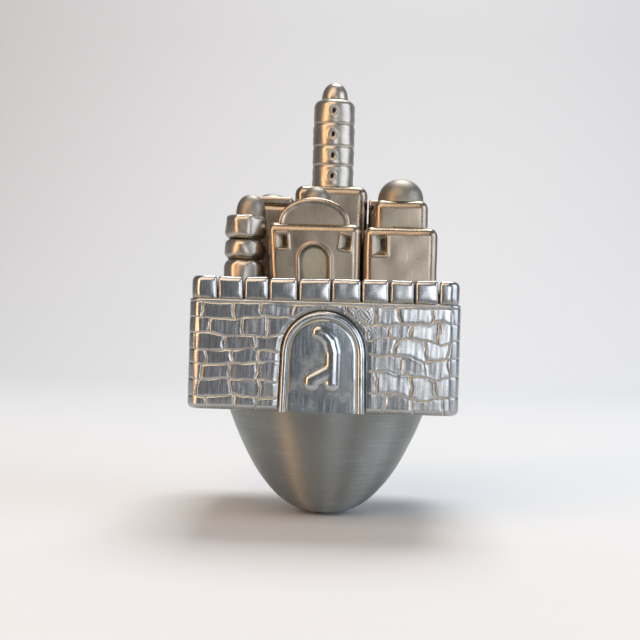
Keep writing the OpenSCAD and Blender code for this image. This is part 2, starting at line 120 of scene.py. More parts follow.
class HouseSizes(bpy.types.PropertyGroup):
    """Sizes of the cast houses, in millimetres."""

    edge: millimetres("Edge", "Rounding of the houses' edges", 1.3)
    grid: millimetres("Grid", "Spacing of a plain face's mesh", 0.2)
    fine: millimetres("Fine grid", "Spacing of the mesh at doors and windows", 0.11)
    ripple: millimetres("Ripple", "Unevenness of the cast faces", 0.02)
    sunk: millimetres("Doorway", "Depth of the doorways", 0.55)
    slot: millimetres("Window", "Depth of the windows", 0.8)


class SilverColours(bpy.types.PropertyGroup):
    """Colours of the silver, from its recesses to its rubbed edges."""

    # The darkest colour: tarnish in the deepest joints, and painted shade in window slots and on the plates
    sunk: hex_colour("Recess", "Tarnish in the deepest joints", "45413A")
    matte: hex_colour("Cast skin", "Skin that no buff reached", "A9A694")
    satin: hex_colour("Satin", "Brushed faces", "ACABA8")
    bright: hex_colour("Bright", "Rubbed edges", "E2E0DB")


class StageSizes(bpy.types.PropertyGroup):
    """Floor, light and camera."""

    floor: hex_colour("Floor", "Colour of the floor and backdrop", "DDE0E2")
    room: FloatProperty(name="Room", description="Level of the light from all round", default=0.2)
    lens: millimetres("Lens", "Focal length of the camera", 59.5)
    distance: millimetres("Distance", "Camera to spin axis", 169.0)
    height: millimetres("Height", "Camera above the table", 30.5)
    turn: degrees("Turn", "Camera's turn to the right of the gate", 2.5)
    lean: degrees("Lean", "Roll of the camera", 1.6)
    aside: millimetres("Aside", "Camera's shift to the left", 1.4)


# Meshes, in millimetres and turned to the front

# Windows: radius of the frame's and the slot's corners and height and width of the lip in millimetres,
# then the slot's shift to the right, its width, its height and the depth at its edge, as shares
FRAME_R, SLOT_R, LIP_H, LIP_W = 0.15, 0.1, 0.06, 0.16
SLOT_SHIFT, SLOT_W, SLOT_H, SLOT_EDGE = 0.2, 0.28, 0.56, 0.85
# Doorways: width, height, height and width of the lip, and run of the slope, in millimetres
DOOR_W, DOOR_H, DOOR_LIP_H, DOOR_LIP_W, DOOR_SLOPE = 4.2, 8.0, 0.12, 0.3, 0.35
# Tone of a flat face, and what a tarnished hollow, a recess, a slot's painted shade and a dark foot take
# from it
FLAT, HOLLOW_FALL, RECESS_FALL, PAINTED_SLOT_SHADE, FOOT_FALL = 0.5, 0.32, 0.2, 0.32, 0.24
# Depth of a full recess, depth at which a slot's painted shade begins and its run, in millimetres
RECESS_D, SLOT_FROM, SLOT_RUN = 0.4, 0.68, 0.12
# What an edge adds to the tone, on most pieces and on the stones
BUFF, STONE_BUFF = 0.2, 0.1
# Faces that meet at a larger angle than this show an edge
SHARP = math.radians(55)
# Unevenness of the castings, as height and as length along each axis, in millimetres
SMALL_SWELL = (0.01, (2.5, 2.5, 2.5))
TIP_SWELL = (0.02, (9, 9, 5))
STONE_SWELL = (0.006, (0.9, 0.9, 4.5))
LETTER_SWELL = (0.004, (3, 3, 3))
PLINTH_SWELL = (0.02, (4, 4, 4))
TOWER_SWELL = (0.02, (3, 3, 3))
TURRET_SWELL = (0.07, (2.6, 2.6, 1.9))
HOUSE_SWELL_SIZE = (5, 5, 5)


def box_mm(node):
    """Lowest and highest corner of a solid, in millimetres."""
    low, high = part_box(node)
    return np.array(low) / MM, np.array(high) / MM


def deck_top():
    """Height of the deck that the houses stand on, in millimetres."""
    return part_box("roof_deck")[1].z / MM


def smooth(x, low, high):
    """Rises softly from 0 at low to 1 at high."""
    t = np.clip((x - low) / (high - low), 0, 1)
    return t * t * (3 - 2 * t)


def bell(x):
    """1 at 0, falling softly to 0 on both sides."""
    return np.exp(-(x**2))


def places(bm):
    """The vertices' places as an array."""
    return np.array([v.co for v in bm.verts])


def move_to(bm, co):
    """Puts the vertices at the places in an array."""
    for v, p in zip(bm.verts, co):
        v.co = p


def verts_of(geom):
    """The vertices among what an operator gives back."""
    return [g for g in geom if isinstance(g, bmesh.types.BMVert)]


def soft_box(low, high, edge, grid):
    """A block that stands on its foot, with its other edges rounded, on an even grid."""
    low, high = np.array(low, float), np.array(high, float)
    bm = bmesh.new()
    bmesh.ops.create_cube(bm, size=1)
    bmesh.ops.scale(bm, vec=high - low, verts=bm.verts)
    bmesh.ops.translate(bm, vec=(low + high) / 2, verts=bm.verts)
    for axis in range(3):
        along = [e for e in bm.edges if abs((e.verts[0].co - e.verts[1].co)[axis]) > grid[axis]]
        cuts = max(int((high - low)[axis] / grid[axis]), 1)
        bmesh.ops.subdivide_edges(bm, edges=along, cuts=cuts, use_grid_fill=True)
    co = places(bm)
    core = np.clip(co, low + edge * np.array((1, 1, 0)), high - edge)
    out = co - core
    far = np.linalg.norm(out, axis=1)
    round_off = far > TINY
    co[round_off] = core[round_off] + out[round_off] * (edge / far[round_off])[:, None]
    move_to(bm, co)
    return bm


def press(bm, axis, at, inwards, relief):
    """Pushes a flat face in by relief(across, height), and notes how deep each vertex lies."""
    sunk = bm.verts.layers.float.get("sunk") or bm.verts.layers.float.new("sunk")
    verts = [v for v in bm.verts if abs(v.co[axis] - at) < NEAR]
    co = np.array([v.co for v in verts])
    depth = relief(co[:, 1 - axis], co[:, 2])
    for v, d in zip(verts, depth):
        v.co[axis] += inwards * d
        v[sunk] = max(d, 0)


def merge_hidden(bm, axis, at):
    """Makes one face of a flat side that nothing shows."""
    faces = [f for f in bm.faces if all(abs(v.co[axis] - at) < NEAR for v in f.verts)]
    bmesh.ops.dissolve_faces(bm, faces=faces)


def rect_distance(x, z, w, h, r, turn):
    """Distance to the outline of a round-cornered rectangle, negative inside."""
    c, s = math.cos(turn), math.sin(turn)
    qx = np.abs(x * c + z * s) - w / 2 + r
    qz = np.abs(z * c - x * s) - h / 2 + r
    return np.hypot(np.maximum(qx, 0), np.maximum(qz, 0)) + np.minimum(np.maximum(qx, qz), 0) - r


def doorway(x, z, depth):
    """Depth of an arched doorway with a raised lip, from its foot's middle."""
    above = z - (DOOR_H - DOOR_W / 2)
    d = np.where(above > 0, np.hypot(x, above), np.abs(x)) - DOOR_W / 2
    lip = DOOR_LIP_H * bell((d - DOOR_LIP_W) / DOOR_LIP_W)
    return depth * smooth(-d, -DOOR_SLOPE / 2, DOOR_SLOPE / 2) - lip


def funnel(x, z, size, depth, turn):
    """Depth of a window that slopes in from its frame to a slot right of its middle."""
    w, h = size
    frame_d = rect_distance(x, z, w, h, FRAME_R, turn)
    slot_d = rect_distance(x - SLOT_SHIFT * w, z, w * SLOT_W, h * SLOT_H, SLOT_R, turn)
    share = np.clip(frame_d / np.minimum(frame_d - slot_d, -0.01), 0, 1)
    lip = LIP_H * bell((frame_d - LIP_W) / LIP_W)
    return depth * np.where(slot_d < 0, 1.0, SLOT_EDGE * share) - lip


def turned(profile, steps):
    """Turns a closed outline of radius and height points round the Z axis."""
    bm = bmesh.new()
    verts = [bm.verts.new((r, 0, z)) for r, z in profile]
    edges = [bm.edges.new(pair) for pair in zip(verts, verts[1:])]
    bmesh.ops.spin(
        bm,
        geom=verts + edges,
        cent=(0, 0, 0),
        axis=(0, 0, 1),
        dvec=(0, 0, 0),
        angle=math.tau,
        steps=steps,
        use_merge=True,
        use_duplicate=False,
    )
    bmesh.ops.remove_doubles(bm, verts=bm.verts, dist=NEAR)
    return bm


def slab(outline, front, back):
    """A plate with an outline of x and z points, from y = front to y = back."""
    bm = bmesh.new()
    face = bm.faces.new([bm.verts.new((x, front, z)) for x, z in outline])
    grown = bmesh.ops.extrude_face_region(bm, geom=[face])["geom"]
    bmesh.ops.translate(bm, vec=(0, back - front, 0), verts=verts_of(grown))
    bmesh.ops.recalc_face_normals(bm, faces=bm.faces)
    return bm


def inset(bm, face, width):
    """Insets a face by an even width."""
    bmesh.ops.inset_region(bm, faces=[face], thickness=width, use_even_offset=True)


def cut_off(bm, place, way):
    """Takes away what lies past a plane, and closes the cut."""
    cut = bmesh.ops.bisect_plane(
        bm,
        geom=list(bm.verts) + list(bm.edges) + list(bm.faces),
        plane_co=place,
        plane_no=way,
        clear_outer=True,
    )["geom_cut"]
    bmesh.ops.edgeloop_fill(bm, edges=[g for g in cut if isinstance(g, bmesh.types.BMEdge)])


def round_edges(bm, edges, width, segments):
    """Rounds edges over."""
    bmesh.ops.bevel(
        bm,
        geom=edges,
        offset=width,
        offset_type="OFFSET",
        segments=segments,
        profile=0.5,
        affect="EDGES",
        clamp_overlap=True,
        material=-1,
    )


def front_face(bm):
    """The largest face that looks to the front."""
    return max((f for f in bm.faces if f.normal.y < -0.9), key=lambda f: f.calc_area())


def unevenness(co, seed, size, amount):
    """Soft random swell of about the given size along each axis, in millimetres."""
    rng = np.random.RandomState(seed)
    total = np.zeros(len(co))
    for _ in range(10):
        way = rng.normal(size=3)
        way *= rng.uniform(0.6, 1.6) * math.tau / np.linalg.norm(way)
        total += np.sin(co @ (way / np.array(size)) + rng.uniform(0, math.tau))
    return total * amount / 3


def rubbed(mesh, co, foot, buff):
    """Tone of each vertex: 0 in a tarnished hollow, 0.5 on a flat, 1 on a rubbed edge. It is darker
    in window slots, as painted shade, and towards the foot.
    """
    ends = np.zeros(len(mesh.edges) * 2, np.int32)
    mesh.edges.foreach_get("vertices", ends)
    a, b = ends.reshape(-1, 2).T
    normal = np.zeros(len(co) * 3)
    mesh.vertex_normals.foreach_get("vector", normal)
    normal = normal.reshape(-1, 3)
    run = co[b] - co[a]
    bend = np.einsum("ij,ij->i", normal[b] - normal[a], run) / np.maximum((run**2).sum(1), TINY)
    count = np.maximum(np.bincount(a, minlength=len(co)) + np.bincount(b, minlength=len(co)), 1)
    bend = (np.bincount(a, bend, len(co)) + np.bincount(b, bend, len(co))) / count
    tone = FLAT + np.where(bend > 0, buff, HOLLOW_FALL) * np.tanh(0.5 * bend)
    for _ in range(3):
        around = np.bincount(a, tone[b], len(co)) + np.bincount(b, tone[a], len(co))
        tone = (tone + around / count) / 2
    layer = mesh.attributes.get("sunk")
    if layer:
        sunk = np.zeros(len(co), np.float32)
        layer.data.foreach_get("value", sunk)
        # Past this depth a window's slot is painted darker: painted shade inside the hole
        slot = np.clip((sunk - SLOT_FROM) / SLOT_RUN, 0, 1)
        tone -= RECESS_FALL * np.clip(sunk / RECESS_D, 0, 1) + PAINTED_SLOT_SHADE * slot
        mesh.attributes.remove(mesh.attributes["sunk"])
    if foot:
        tone -= FOOT_FALL * np.exp(-(co[:, 2] - co[:, 2].min()) / foot)
    return np.clip(tone, 0, 1)


def keep(bm, name, slot, finish, node=None, turns=0, swell=SMALL_SWELL, foot=0.0, buff=BUFF):
    """Makes the finished object, in place of its solid where there is one. Its tone is darker up to
    about the height that foot gives."""
    bmesh.ops.recalc_face_normals(bm, faces=bm.faces)
    mesh = bpy.data.meshes.new(name)
    bm.to_mesh(mesh)
    bm.free()
    mesh.shade_smooth()
    co = np.zeros(len(mesh.vertices) * 3)
    mesh.vertices.foreach_get("co", co)
    co = co.reshape(-1, 3)
    normal = np.zeros(len(co) * 3)
    mesh.vertex_normals.foreach_get("vector", normal)
    seed = sum(map(ord, name))
    co += normal.reshape(-1, 3) * unevenness(co, seed, swell[1], swell[0])[:, None]
    mesh.vertices.foreach_set("co", co.ravel())
    mesh.update()
    tone = rubbed(mesh, co, foot, buff).astype(np.float32)
    mesh.attributes.new("tone", "FLOAT", "POINT").data.foreach_set("value", tone)
    mesh.transform(Matrix.Rotation(turns * math.pi / 2, 4, "Z") @ Matrix.Scale(MM, 4))
    mesh.set_sharp_from_angle(angle=SHARP)
    mesh.materials.append(finish)
    piece = bpy.data.objects.new(name, mesh)
    bpy.context.scene.collection.objects.link(piece)
    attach(piece, "root")
    if node:
        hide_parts(node)


# Silver

# Casts of the silver's colour: new, with a faint painted cool reflection; thinly tarnished; browned by a
# thin
# # tarnish and a painted warm reflection; a darker, duller grey; darkened, with a painted cool reflection;
# and
# # spun, darker and cooler as a painted reflection of a dim, cool room
COOL_REFLECTION = (0.97, 1.0, 1.03)
MILD = (1.06, 1.0, 0.9)
WARM_TARNISH_AND_REFLECTION = (0.82, 0.69, 0.555)
DULL = (0.68, 0.64, 0.57)
DARKENED_COOL_REFLECTION = (0.9, 0.97, 1.02)
SPUN_DIM_REFLECTION = (0.73, 0.78, 0.8)
# Width of the tarnish's clouds, width and depth of the casting's grit, in millimetres
CLOUD_MM, GRIT_MM, PIT_MM = 2.6, 0.25, 0.03
# Where most of a noise's values lie
MIDDLE = {"From Min": 0.3, "From Max": 0.7}


def add(tree, kind, sockets=None, **settings):
    """Adds a node with its settings, its sockets' values and its links."""
    node = tree.nodes.new(kind)
    for key, value in settings.items():
        setattr(node, key, value)
    for key, value in (sockets or {}).items():
        if isinstance(value, bpy.types.NodeSocket):
            tree.links.new(value, node.inputs[key])
        else:
            node.inputs[key].default_value = value
    return node


def silver(name, brush_mm, brush_depth_mm, roughness, cast, lines=0.03, clouds=0.05, spread=0.0, tone_from_mesh=True):
    """Silver with a colour cast, on some finishes partly a painted reflection, and brush marks of the given
    length along each axis. By the piece's tone its recesses are matte, its window slots painted dark as
    shade and its edges bright; without a tone from the mesh, clouds give a darker tone of tarnish and
    painted shade. The marks shift that tone by lines and tarnish by clouds, and spread draws the reflections
    out across the marks."""
    found = bpy.data.materials.get(name)
    if found:
        return found
    colours = bpy.context.scene.dreidel_silver
    material = bpy.data.materials.new(name)
    material.use_nodes = True
    tree = material.node_tree
    tree.nodes.clear()
    place = add(tree, "ShaderNodeTexCoord").outputs["Object"]
    # Real marks are some hundredths of a millimetre wide, and are drawn as coarse as they need to show
    per_metre = [1 / (length * MM) for length in brush_mm]
    stretched = add(tree, "ShaderNodeMapping", {"Vector": place, "Scale": per_metre})
    brush, cloud, grit = (
        add(
            tree,
            "ShaderNodeTexNoise",
            {"Vector": at, "Scale": scale, "Detail": detail, "Roughness": rough},
        ).outputs["Fac"]
        for at, scale, detail, rough in (
            (stretched.outputs[0], 1.0, 3.0, 0.6),
            (place, 1 / (CLOUD_MM * MM), 4.0, 0.6),
            (place, 1 / (GRIT_MM * MM), 2.0, 0.5),
        )
    )
    if tone_from_mesh:
        tone = add(tree, "ShaderNodeAttribute", attribute_name="tone").outputs["Fac"]
    else:
        # Without a tone from the mesh, clouds set a darker one: tarnish, and painted shade on the plates
        # between walls and houses
        clouded_and_shaded = {"Value": cloud, "To Min": 0.08, "To Max": 0.4}
        tone = add(tree, "ShaderNodeMapRange", clouded_and_shaded).outputs[0]
    swing, line, streak = (
        add(
            tree,
            "ShaderNodeMapRange",
            {"Value": noise, **MIDDLE, "To Min": low, "To Max": high},
        ).outputs[0]
        for noise, low, high in ((cloud, -clouds, clouds), (brush, -lines, lines), (brush, -0.05, 0.07))
    )
    marked = add(tree, "ShaderNodeMath", {0: swing, 1: line}, operation="ADD").outputs[0]
    total = add(tree, "ShaderNodeMath", {0: tone, 1: marked}, operation="ADD", use_clamp=True).outputs[0]
    ramp = add(tree, "ShaderNodeValToRGB", {"Fac": total})
    satin, bright = ([c * k for c, k in zip(colour, cast)] for colour in (colours.satin, colours.bright))
    stops = ((0.0, colours.sunk), (0.25, colours.matte), (0.5, satin), (0.9, bright))
    while len(ramp.color_ramp.elements) < len(stops):
        ramp.color_ramp.elements.new(0.5)
    for element, (position, colour) in zip(ramp.color_ramp.elements, stops):
        element.position = position
        element.color = (*colour, 1)
    # By the tone: roughness up to a satin face, polish past it, and pits in skin that no buff reached
    matte, polish, pitted = (
        add(
            tree,
            "ShaderNodeMapRange",
            {"Value": total, "From Min": start, "From Max": end, "To Min": low, "To Max": high},
        ).outputs[0]
        for start, end, low, high in (
            (0.1, 0.5, 0.62, roughness),
            (0.5, 0.9, 0.0, -0.05),
            (0.15, 0.4, 0.8, 0.0),
        )
    )
    part = add(tree, "ShaderNodeMath", {0: matte, 1: polish}, operation="ADD").outputs[0]
    gloss = add(tree, "ShaderNodeMath", {0: part, 1: streak}, operation="ADD", use_clamp=True)
    pits = add(tree, "ShaderNodeBump", {"Height": grit, "Strength": pitted, "Distance": PIT_MM * MM})
    bump = add(
        tree,
        "ShaderNodeBump",
        {"Height": brush, "Strength": 1.0, "Distance": brush_depth_mm * MM, "Normal": pits.outputs[0]},
    )
    metal = add(
        tree,
        "ShaderNodeBsdfPrincipled",
        {
            "Base Color": ramp.outputs["Color"],
            "Metallic": 1.0,
            "Roughness": gloss.outputs[0],
            "Normal": bump.outputs[0],
            "Anisotropic": spread,
            "Anisotropic Rotation": 0.25,
        },
    )
    add(tree, "ShaderNodeOutputMaterial", {"Surface": metal.outputs[0]})
    return material


def stone_silver():
    """Cast silver brushed up and down: fine upright lines break its reflections into streaks, cooled by a
    faint painted reflection.
    """
    return silver("cast silver, brushed upright", (0.2, 0.2, 4.0), 0.010, 0.24, COOL_REFLECTION)


def house_silver():
    """Cast silver, buffed by hand: warm satin from a thin tarnish and a painted warm reflection, with short
    upright marks.
    """
    return silver("cast silver, hand buffed", (0.28, 0.28, 2.4), 0.0010, 0.28, WARM_TARNISH_AND_REFLECTION)


def dome_silver():
    """Cast silver, tumbled: even satin with no brush marks, so a dome shades softly."""
    return silver("cast silver, tumbled", (0.6, 0.6, 0.6), 0.003, 0.48, DULL)


def polished_silver():
    """Cast silver, polished on the merlons: clearer reflections, faint upright marks and a faint painted
    cool reflection.
    """
    return silver("cast silver, polished", (0.22, 0.22, 2.2), 0.004, 0.22, COOL_REFLECTION)


def tower_silver():
    """Cast silver, rubbed by fingers on tower and turrets: a soft sheen that spreads its highlights."""
    return silver("cast silver, rubbed by hand", (0.3, 0.3, 1.6), 0.003, 0.33, MILD)


def gate_silver():
    """Cast silver, polished and darkened in clouds of tarnish: the gates mirror the room in an uneven cool
    grey, helped by a painted cool reflection and clouds that also paint cloudy reflections.
    """
    return silver("cast silver, darkened, with painted cool reflection", (0.3, 0.3, 3.0), 0.004, 0.2, DARKENED_COOL_REFLECTION, lines=0.05, clouds=0.12)


def spun_silver():
    """Sheet spun on a lathe: lines run round it, and draw its reflections out into upright bands. Its colour
    is darker and cooler as a painted reflection of a dim, cool room.
    """
    marks = (14.0, 14.0, 0.17)
    return silver("spun silver, lathe brushed", marks, 0.008, 0.47, SPUN_DIM_REFLECTION, lines=0.11, spread=0.92)


def plate_silver():
    """Rolled plate, left as it was soldered: unbuffed, clouded with tarnish and painted darker as shade,
    with marks of no one way.
    """
    return silver("rolled silver plate, unbuffed, with painted shade", (0.5, 0.5, 0.5), 0.006, 0.42, MILD, tone_from_mesh=False)


# Walls, in millimetres

# Widths of one side's merlons from left to right, as shares of an even one
MERLONS = (1.07, 0.96, 0.92, 1.07, 1.21, 1.11, 1.03, 0.92, 0.88, 0.83)
# Rounding of a merlon, and how far it is squeezed along the wall, through it and upwards
MERLON_R, MERLON_SQUEEZE = 0.8, (0.5, 0.6, 1)
# Spacing of a merlon's mesh, swell of its face, seat in the wall, how far its back stands out behind
# the wall, and height of its dark foot
MERLON_GRID, MERLON_SWELL, MERLON_SEAT, MERLON_BACK, MERLON_FOOT = 0.12, 0.12, 0.05, 0.02, 0.35
# Length of the stone at a corner and of the others
CORNER_STONE, STONE = (0.6, 3.2), (2.9, 4.9)
# Step of a course between two stones, half its run, and how far from a corner the courses come level
STEP, STEP_RUN, LEVEL_RUN = 0.24, 0.3, 2.0
# Slant of the upright joints, and spread of the stones' heights
SLANT, RISE = 0.18, 0.02
# Waves of the lines and their height: under the merlons, along a course left and right, up a joint
BAND_WAVE = ((11, 5, 1.9), 0.07)
COURSE_WAVE = {-1: ((14, 6.1, 2.9, 1.4), 0.24), 1: ((14, 6.1, 2.9, 1.4), 0.4)}
JOINT_WAVE = ((3.4, 1.5), 0.11)
# Waves of the joints' depth and width, as shares
DEPTH_WAVE = ((7.1, 5.3, 3.3), 0.3)
WIDTH_WAVE = ((5.1, 2.3), 0.16)
# Depth of level and upright joints as shares, run of a stone's fall and of its plain border
LEVEL_CUT, UPRIGHT_CUT, FALL_RUN, BORDER_RUN = 0.7, 1.3, 0.28, 0.3
# Where joints begin and are whole beside a gate, and their depth before that as a share
GATE_BORDER, FAINT = (0.35, 0.95), 0.15
# Cast skin that no brush reached, beside the gate's shoulder: place beside the middle and under the
# band, reach both ways, depth and spacing of its pits
SKIN_U, SKIN_Z, SKIN_REACH, SKIN_D, SKIN_PITS = 5.4, 2.2, (1.5, 1.8), 0.05, (0.5, 0.55)
# Seat of a gate: depth of the stones' fall towards it and of the cut under its edge, with where they end
GATE_FALL, GATE_CUT = (0.1, 0.3, 1.0), (0.42, 0.04, 0.3)
# Rounding of a wall's foot and top, and how much of the quarter round is kept
FOOT_R, TOP_R, QUARTER = 0.8, 0.35, 0.995
# Stands for a distance beyond any on a wall
FAR = 9.0
# Courses at each corner, and the heights that they differ by as shares of an even one
COURSES, COURSE_SHARES = (7, 6, 7, 6), (0.85, 1.15)


def quarter_run(half, corner_r):
    """Run along a wall from its middle to the middle of its round corner."""
    return half - corner_r + corner_r * math.pi / 4


def around(u, depth, half, corner_r):
    """Places on the plan from the run along a wall and the depth behind its face."""
    flat = half - corner_r
    run = np.abs(u) - flat
    turn = np.clip(run / corner_r, 0, math.pi / 2)
    past = np.maximum(run - corner_r * math.pi / 2, 0)
    x = np.where(run > 0, np.sign(u) * (flat + (corner_r - depth) * np.sin(turn)), u)
    y = np.where(run > 0, -(flat + (corner_r - depth) * np.cos(turn)) + past, depth - half)
    return x, y


def wave(rng, lengths, amount):
    """A smooth uneven line as a function, made of waves of these lengths: the longer, the higher."""
    parts = [(n / max(lengths), math.tau / n, rng.uniform(0, math.tau)) for n in lengths]
    return lambda x: amount * sum(a * np.sin(k * x + p) for a, k, p in parts)


def jamb(gate, z):
    """Half width between a gate's jambs at a height."""
    return gate.foot_w / 2 + (gate.head_w - gate.foot_w) / 2 * z / gate.height


def gate_distance(u, z, gate):
    """Distance to a gate's outline, from its foot's middle, negative inside."""
    side = np.abs(u) - jamb(gate, z)
    above = z - (gate.height - gate.arch_r)
    arch = np.where(above > 0, np.hypot(u, above) - gate.arch_r, -FAR)
    return np.maximum(side, arch)


def off_line(across, along, line):
    """Distance from a line given as a function of the run along it."""
    slope = (line(along + 0.02) - line(along - 0.02)) / 0.04
    return np.abs(across - line(along)) / np.hypot(1, slope)


def lay_course(start, rng):
    """Stones of one course from the corner to the gate, as inner end, outer end and step in height."""
    stones, outer = [], start
    inner = start - rng.uniform(*CORNER_STONE)
    while outer > 0:
        inner = max(inner, 0.0)
        stones.append((inner, outer, rng.uniform(-STEP, STEP)))
        outer, inner = inner, inner - rng.uniform(*STONE)
    return stones


def stone_relief(u, z, ends, low, high, sizes, gate, rng):
    """Depth of the stone face: engraved joints between stones that each lie a little askew."""
    half_run = np.abs(u).max()
    top = high - sizes.course_h

    def calm(run):
        return 1 - bell((half_run - np.abs(run)) / LEVEL_RUN)

    def step_at(far, end):
        return smooth(far, end - STEP_RUN, end + STEP_RUN)

    band = wave(rng, *BAND_WAVE)
    flat_near = off_line(z, u, lambda run: top + band(run))
    upright_near = np.full_like(u, FAR)
    lift = np.zeros_like(u)
    for way, shares in ((-1, ends[0]), (1, ends[1])):
        mine = u * way >= 0
        courses = [lay_course(half_run, rng) for _ in range(len(shares) + 1)]
        level = np.zeros(len(u), int)
        for share, stones in zip(shares, courses[1:]):
            soft = wave(rng, *COURSE_WAVE[way])

            def line(run):
                far = np.abs(run)
                step = sum(s * (step_at(far, a) - step_at(far, b)) for a, b, s in stones)
                return low + (top - low) * share + calm(run) * (soft(run) + step)

            level += z > line(u)
            flat_near = np.where(mine, np.minimum(flat_near, off_line(z, u, line)), flat_near)
        for course, stones in enumerate(courses):
            here = mine & (level == course) & (z < top)
            middle = z[here].mean()
            for inner, outer, _ in stones:
                soft = wave(rng, *JOINT_WAVE)
                slant = rng.uniform(-SLANT, SLANT)

                def joint(height):
                    return way * inner + slant * (height - middle) + soft(height)

                upright_near = np.where(here, np.minimum(upright_near, off_line(u, z, joint)), upright_near)
                stone = here & (np.abs(u) > inner) & (np.abs(u) <= outer)
                slope = rng.normal(0, sizes.tilt, 2)
                rise = rng.normal(0, RISE)
                aside, above = u[stone] - way * (inner + outer) / 2, z[stone] - middle
                lift[stone] = rise + slope[0] * aside + slope[1] * above
    open_face = smooth(gate_distance(u, z - low, gate), *GATE_BORDER)
    strength = 1 + wave(rng, *DEPTH_WAVE)(u + 1.7 * z)
    width = sizes.joint_w * (1 + wave(rng, *WIDTH_WAVE)(u - 1.3 * z))
    near = np.minimum(flat_near, upright_near)
    cut = np.maximum(LEVEL_CUT * bell(flat_near / width), UPRIGHT_CUT * bell(upright_near / width))
    groove = sizes.joint_d * strength * cut + sizes.pillow * np.exp(-near / FALL_RUN)
    clear = calm(u) * (1 - bell(near / BORDER_RUN)) * open_face
    skin = np.exp(-(((u - SKIN_U) / SKIN_REACH[0]) ** 2) - ((z - top + SKIN_Z) / SKIN_REACH[1]) ** 2)
    pits = np.sin(math.tau * u / SKIN_PITS[0] + 2 * np.sin(3.1 * z))
    pits *= np.sin(math.tau * z / SKIN_PITS[1] + 2 * np.sin(2.7 * u))
    return groove * (FAINT + (1 - FAINT) * open_face) - lift * clear + SKIN_D * skin * pits * open_face


def wall_mesh(turns, sizes, gate):
    """One wall with its engraved stones, mitred at both ends and round at the corners."""
    low = box_mm("front_wall")[0]
    half, foot, top = -low[1], low[2], deck_top()
    half_run = quarter_run(half, sizes.corner_r)
    rng = np.random.RandomState(sizes.seed + turns)
    columns, rows = int(2 * half_run / sizes.grid), int((top - foot) / sizes.grid)
    bm = bmesh.new()
    bmesh.ops.create_grid(bm, x_segments=columns, y_segments=rows, size=1)
    bmesh.ops.scale(bm, vec=(half_run, (top - foot) / 2, 1), verts=bm.verts)
    rim = [e for e in bm.edges if e.is_boundary]
    grown = bmesh.ops.extrude_edge_only(bm, edges=rim)["geom"]
    bmesh.ops.translate(bm, vec=(0, 0, 1), verts=verts_of(grown))
    fill = bmesh.ops.edgeloop_fill(bm, edges=[e for e in bm.edges if e.is_boundary])["faces"]
    step = 2 * half_run / columns
    # The plain back gets upright cuts at its ends, so that it can follow the round corners
    for side in (-1, 1):
        for k in range(0, int(sizes.corner_r / step), 2):
            faces = [f for f in bm.faces if len(f.verts) > 4 or f in fill]
            geom = set(faces) | {e for f in faces for e in f.edges} | {v for f in faces for v in f.verts}
            bmesh.ops.bisect_plane(
                bm,
                geom=list(geom),
                dist=step / 20,
                plane_co=(side * (half_run - (k + 1) * step), 0, 0),
                plane_no=(1, 0, 0),
            )
    co = places(bm)
    u, z, back = co[:, 0], co[:, 1] + (top + foot) / 2, co[:, 2] > 0.5
    ends = corner_courses(sizes.seed)
    depth = stone_relief(u, z, (ends[turns], ends[(turns + 1) % 4]), foot, top, sizes, gate, rng)
    g = gate_distance(u, z - foot, gate)
    (fall, *fall_run), (cut, *cut_run) = GATE_FALL, GATE_CUT
    depth += fall * (1 - smooth(g, *fall_run)) + cut * (1 - smooth(g, *cut_run))
    for edge, reach in ((z - foot, FOOT_R), (top - z, TOP_R)):
        into = np.clip(reach - edge, 0, reach)
        depth += reach - np.sqrt(reach**2 - QUARTER * into**2)
    depth = np.where(back, sizes.wall_t, depth)
    x, y = around(u, depth, half, sizes.corner_r)
    move_to(bm, np.column_stack((x, y, z)))
    return bm


def corner_courses(seed):
    """Heights of the joints at each corner, as shares of the stone face, from the front's left end on."""
    rng = np.random.RandomState(seed + 40)
    ends = []
    for count in COURSES:
        steps = rng.uniform(*COURSE_SHARES, count)
        ends.append(np.cumsum(steps)[:-1] / steps.sum())
    return ends


def battlement_mesh(turns, sizes):
    """The merlons of one side, from the one round its left corner on: soft blocks that differ a little."""
    low, high = box_mm("front_wall")
    half, foot, top = -low[1], deck_top(), high[2]
    gaps = half * (2 * np.cumsum(MERLONS)[:-1] / sum(MERLONS) - 1)
    starts = [gaps[-1] - 2 * quarter_run(half, sizes.corner_r), *gaps[:-1]]
    rng = np.random.RandomState(sizes.seed + 10 + turns)
    front, back, squeeze = sizes.merlon_setback, sizes.wall_t + MERLON_BACK, np.array(MERLON_SQUEEZE)
    whole = bmesh.new()
    for left, right in zip(starts, gaps):
        left, right = left + sizes.merlon_gap / 2, right - sizes.merlon_gap / 2
        near, far = np.array(((left, front, foot - MERLON_SEAT), (right, back, top))) / squeeze
        block = soft_box(near, far, MERLON_R, MERLON_GRID / squeeze)
        co = places(block) * squeeze
        across = (co[:, 0] - (left + right) / 2) / (right - left) * 2
        up = (co[:, 2] - foot) / (top - foot)
        face = smooth(-co[:, 1], -back, -front)
        co[:, 1] -= MERLON_SWELL * face * (1 - across**4) * (1 - (2 * up - 1) ** 4)
        # Each leans, is a little lower and has a slanting top
        co[:, 0] += rng.uniform(-0.06, 0.02) * (co[:, 2] - foot)
        co[:, 2] -= rng.uniform(0, 0.16) * up + rng.uniform(-0.06, 0.06) * across * up
        x, y = around(co[:, 0], co[:, 1], half, sizes.corner_r)
        move_to(block, np.column_stack((x, y, co[:, 2])))
        part = bpy.data.meshes.new("merlon")
        block.to_mesh(part)
        block.free()
        whole.from_mesh(part)
        bpy.data.meshes.remove(part)
    return whole


# Gates and letters

# Steps of a gate's jambs, of half its arch and of its rim's round
JAMB_STEPS, ARCH_STEPS, RIM_STEPS = 12, 26, 15
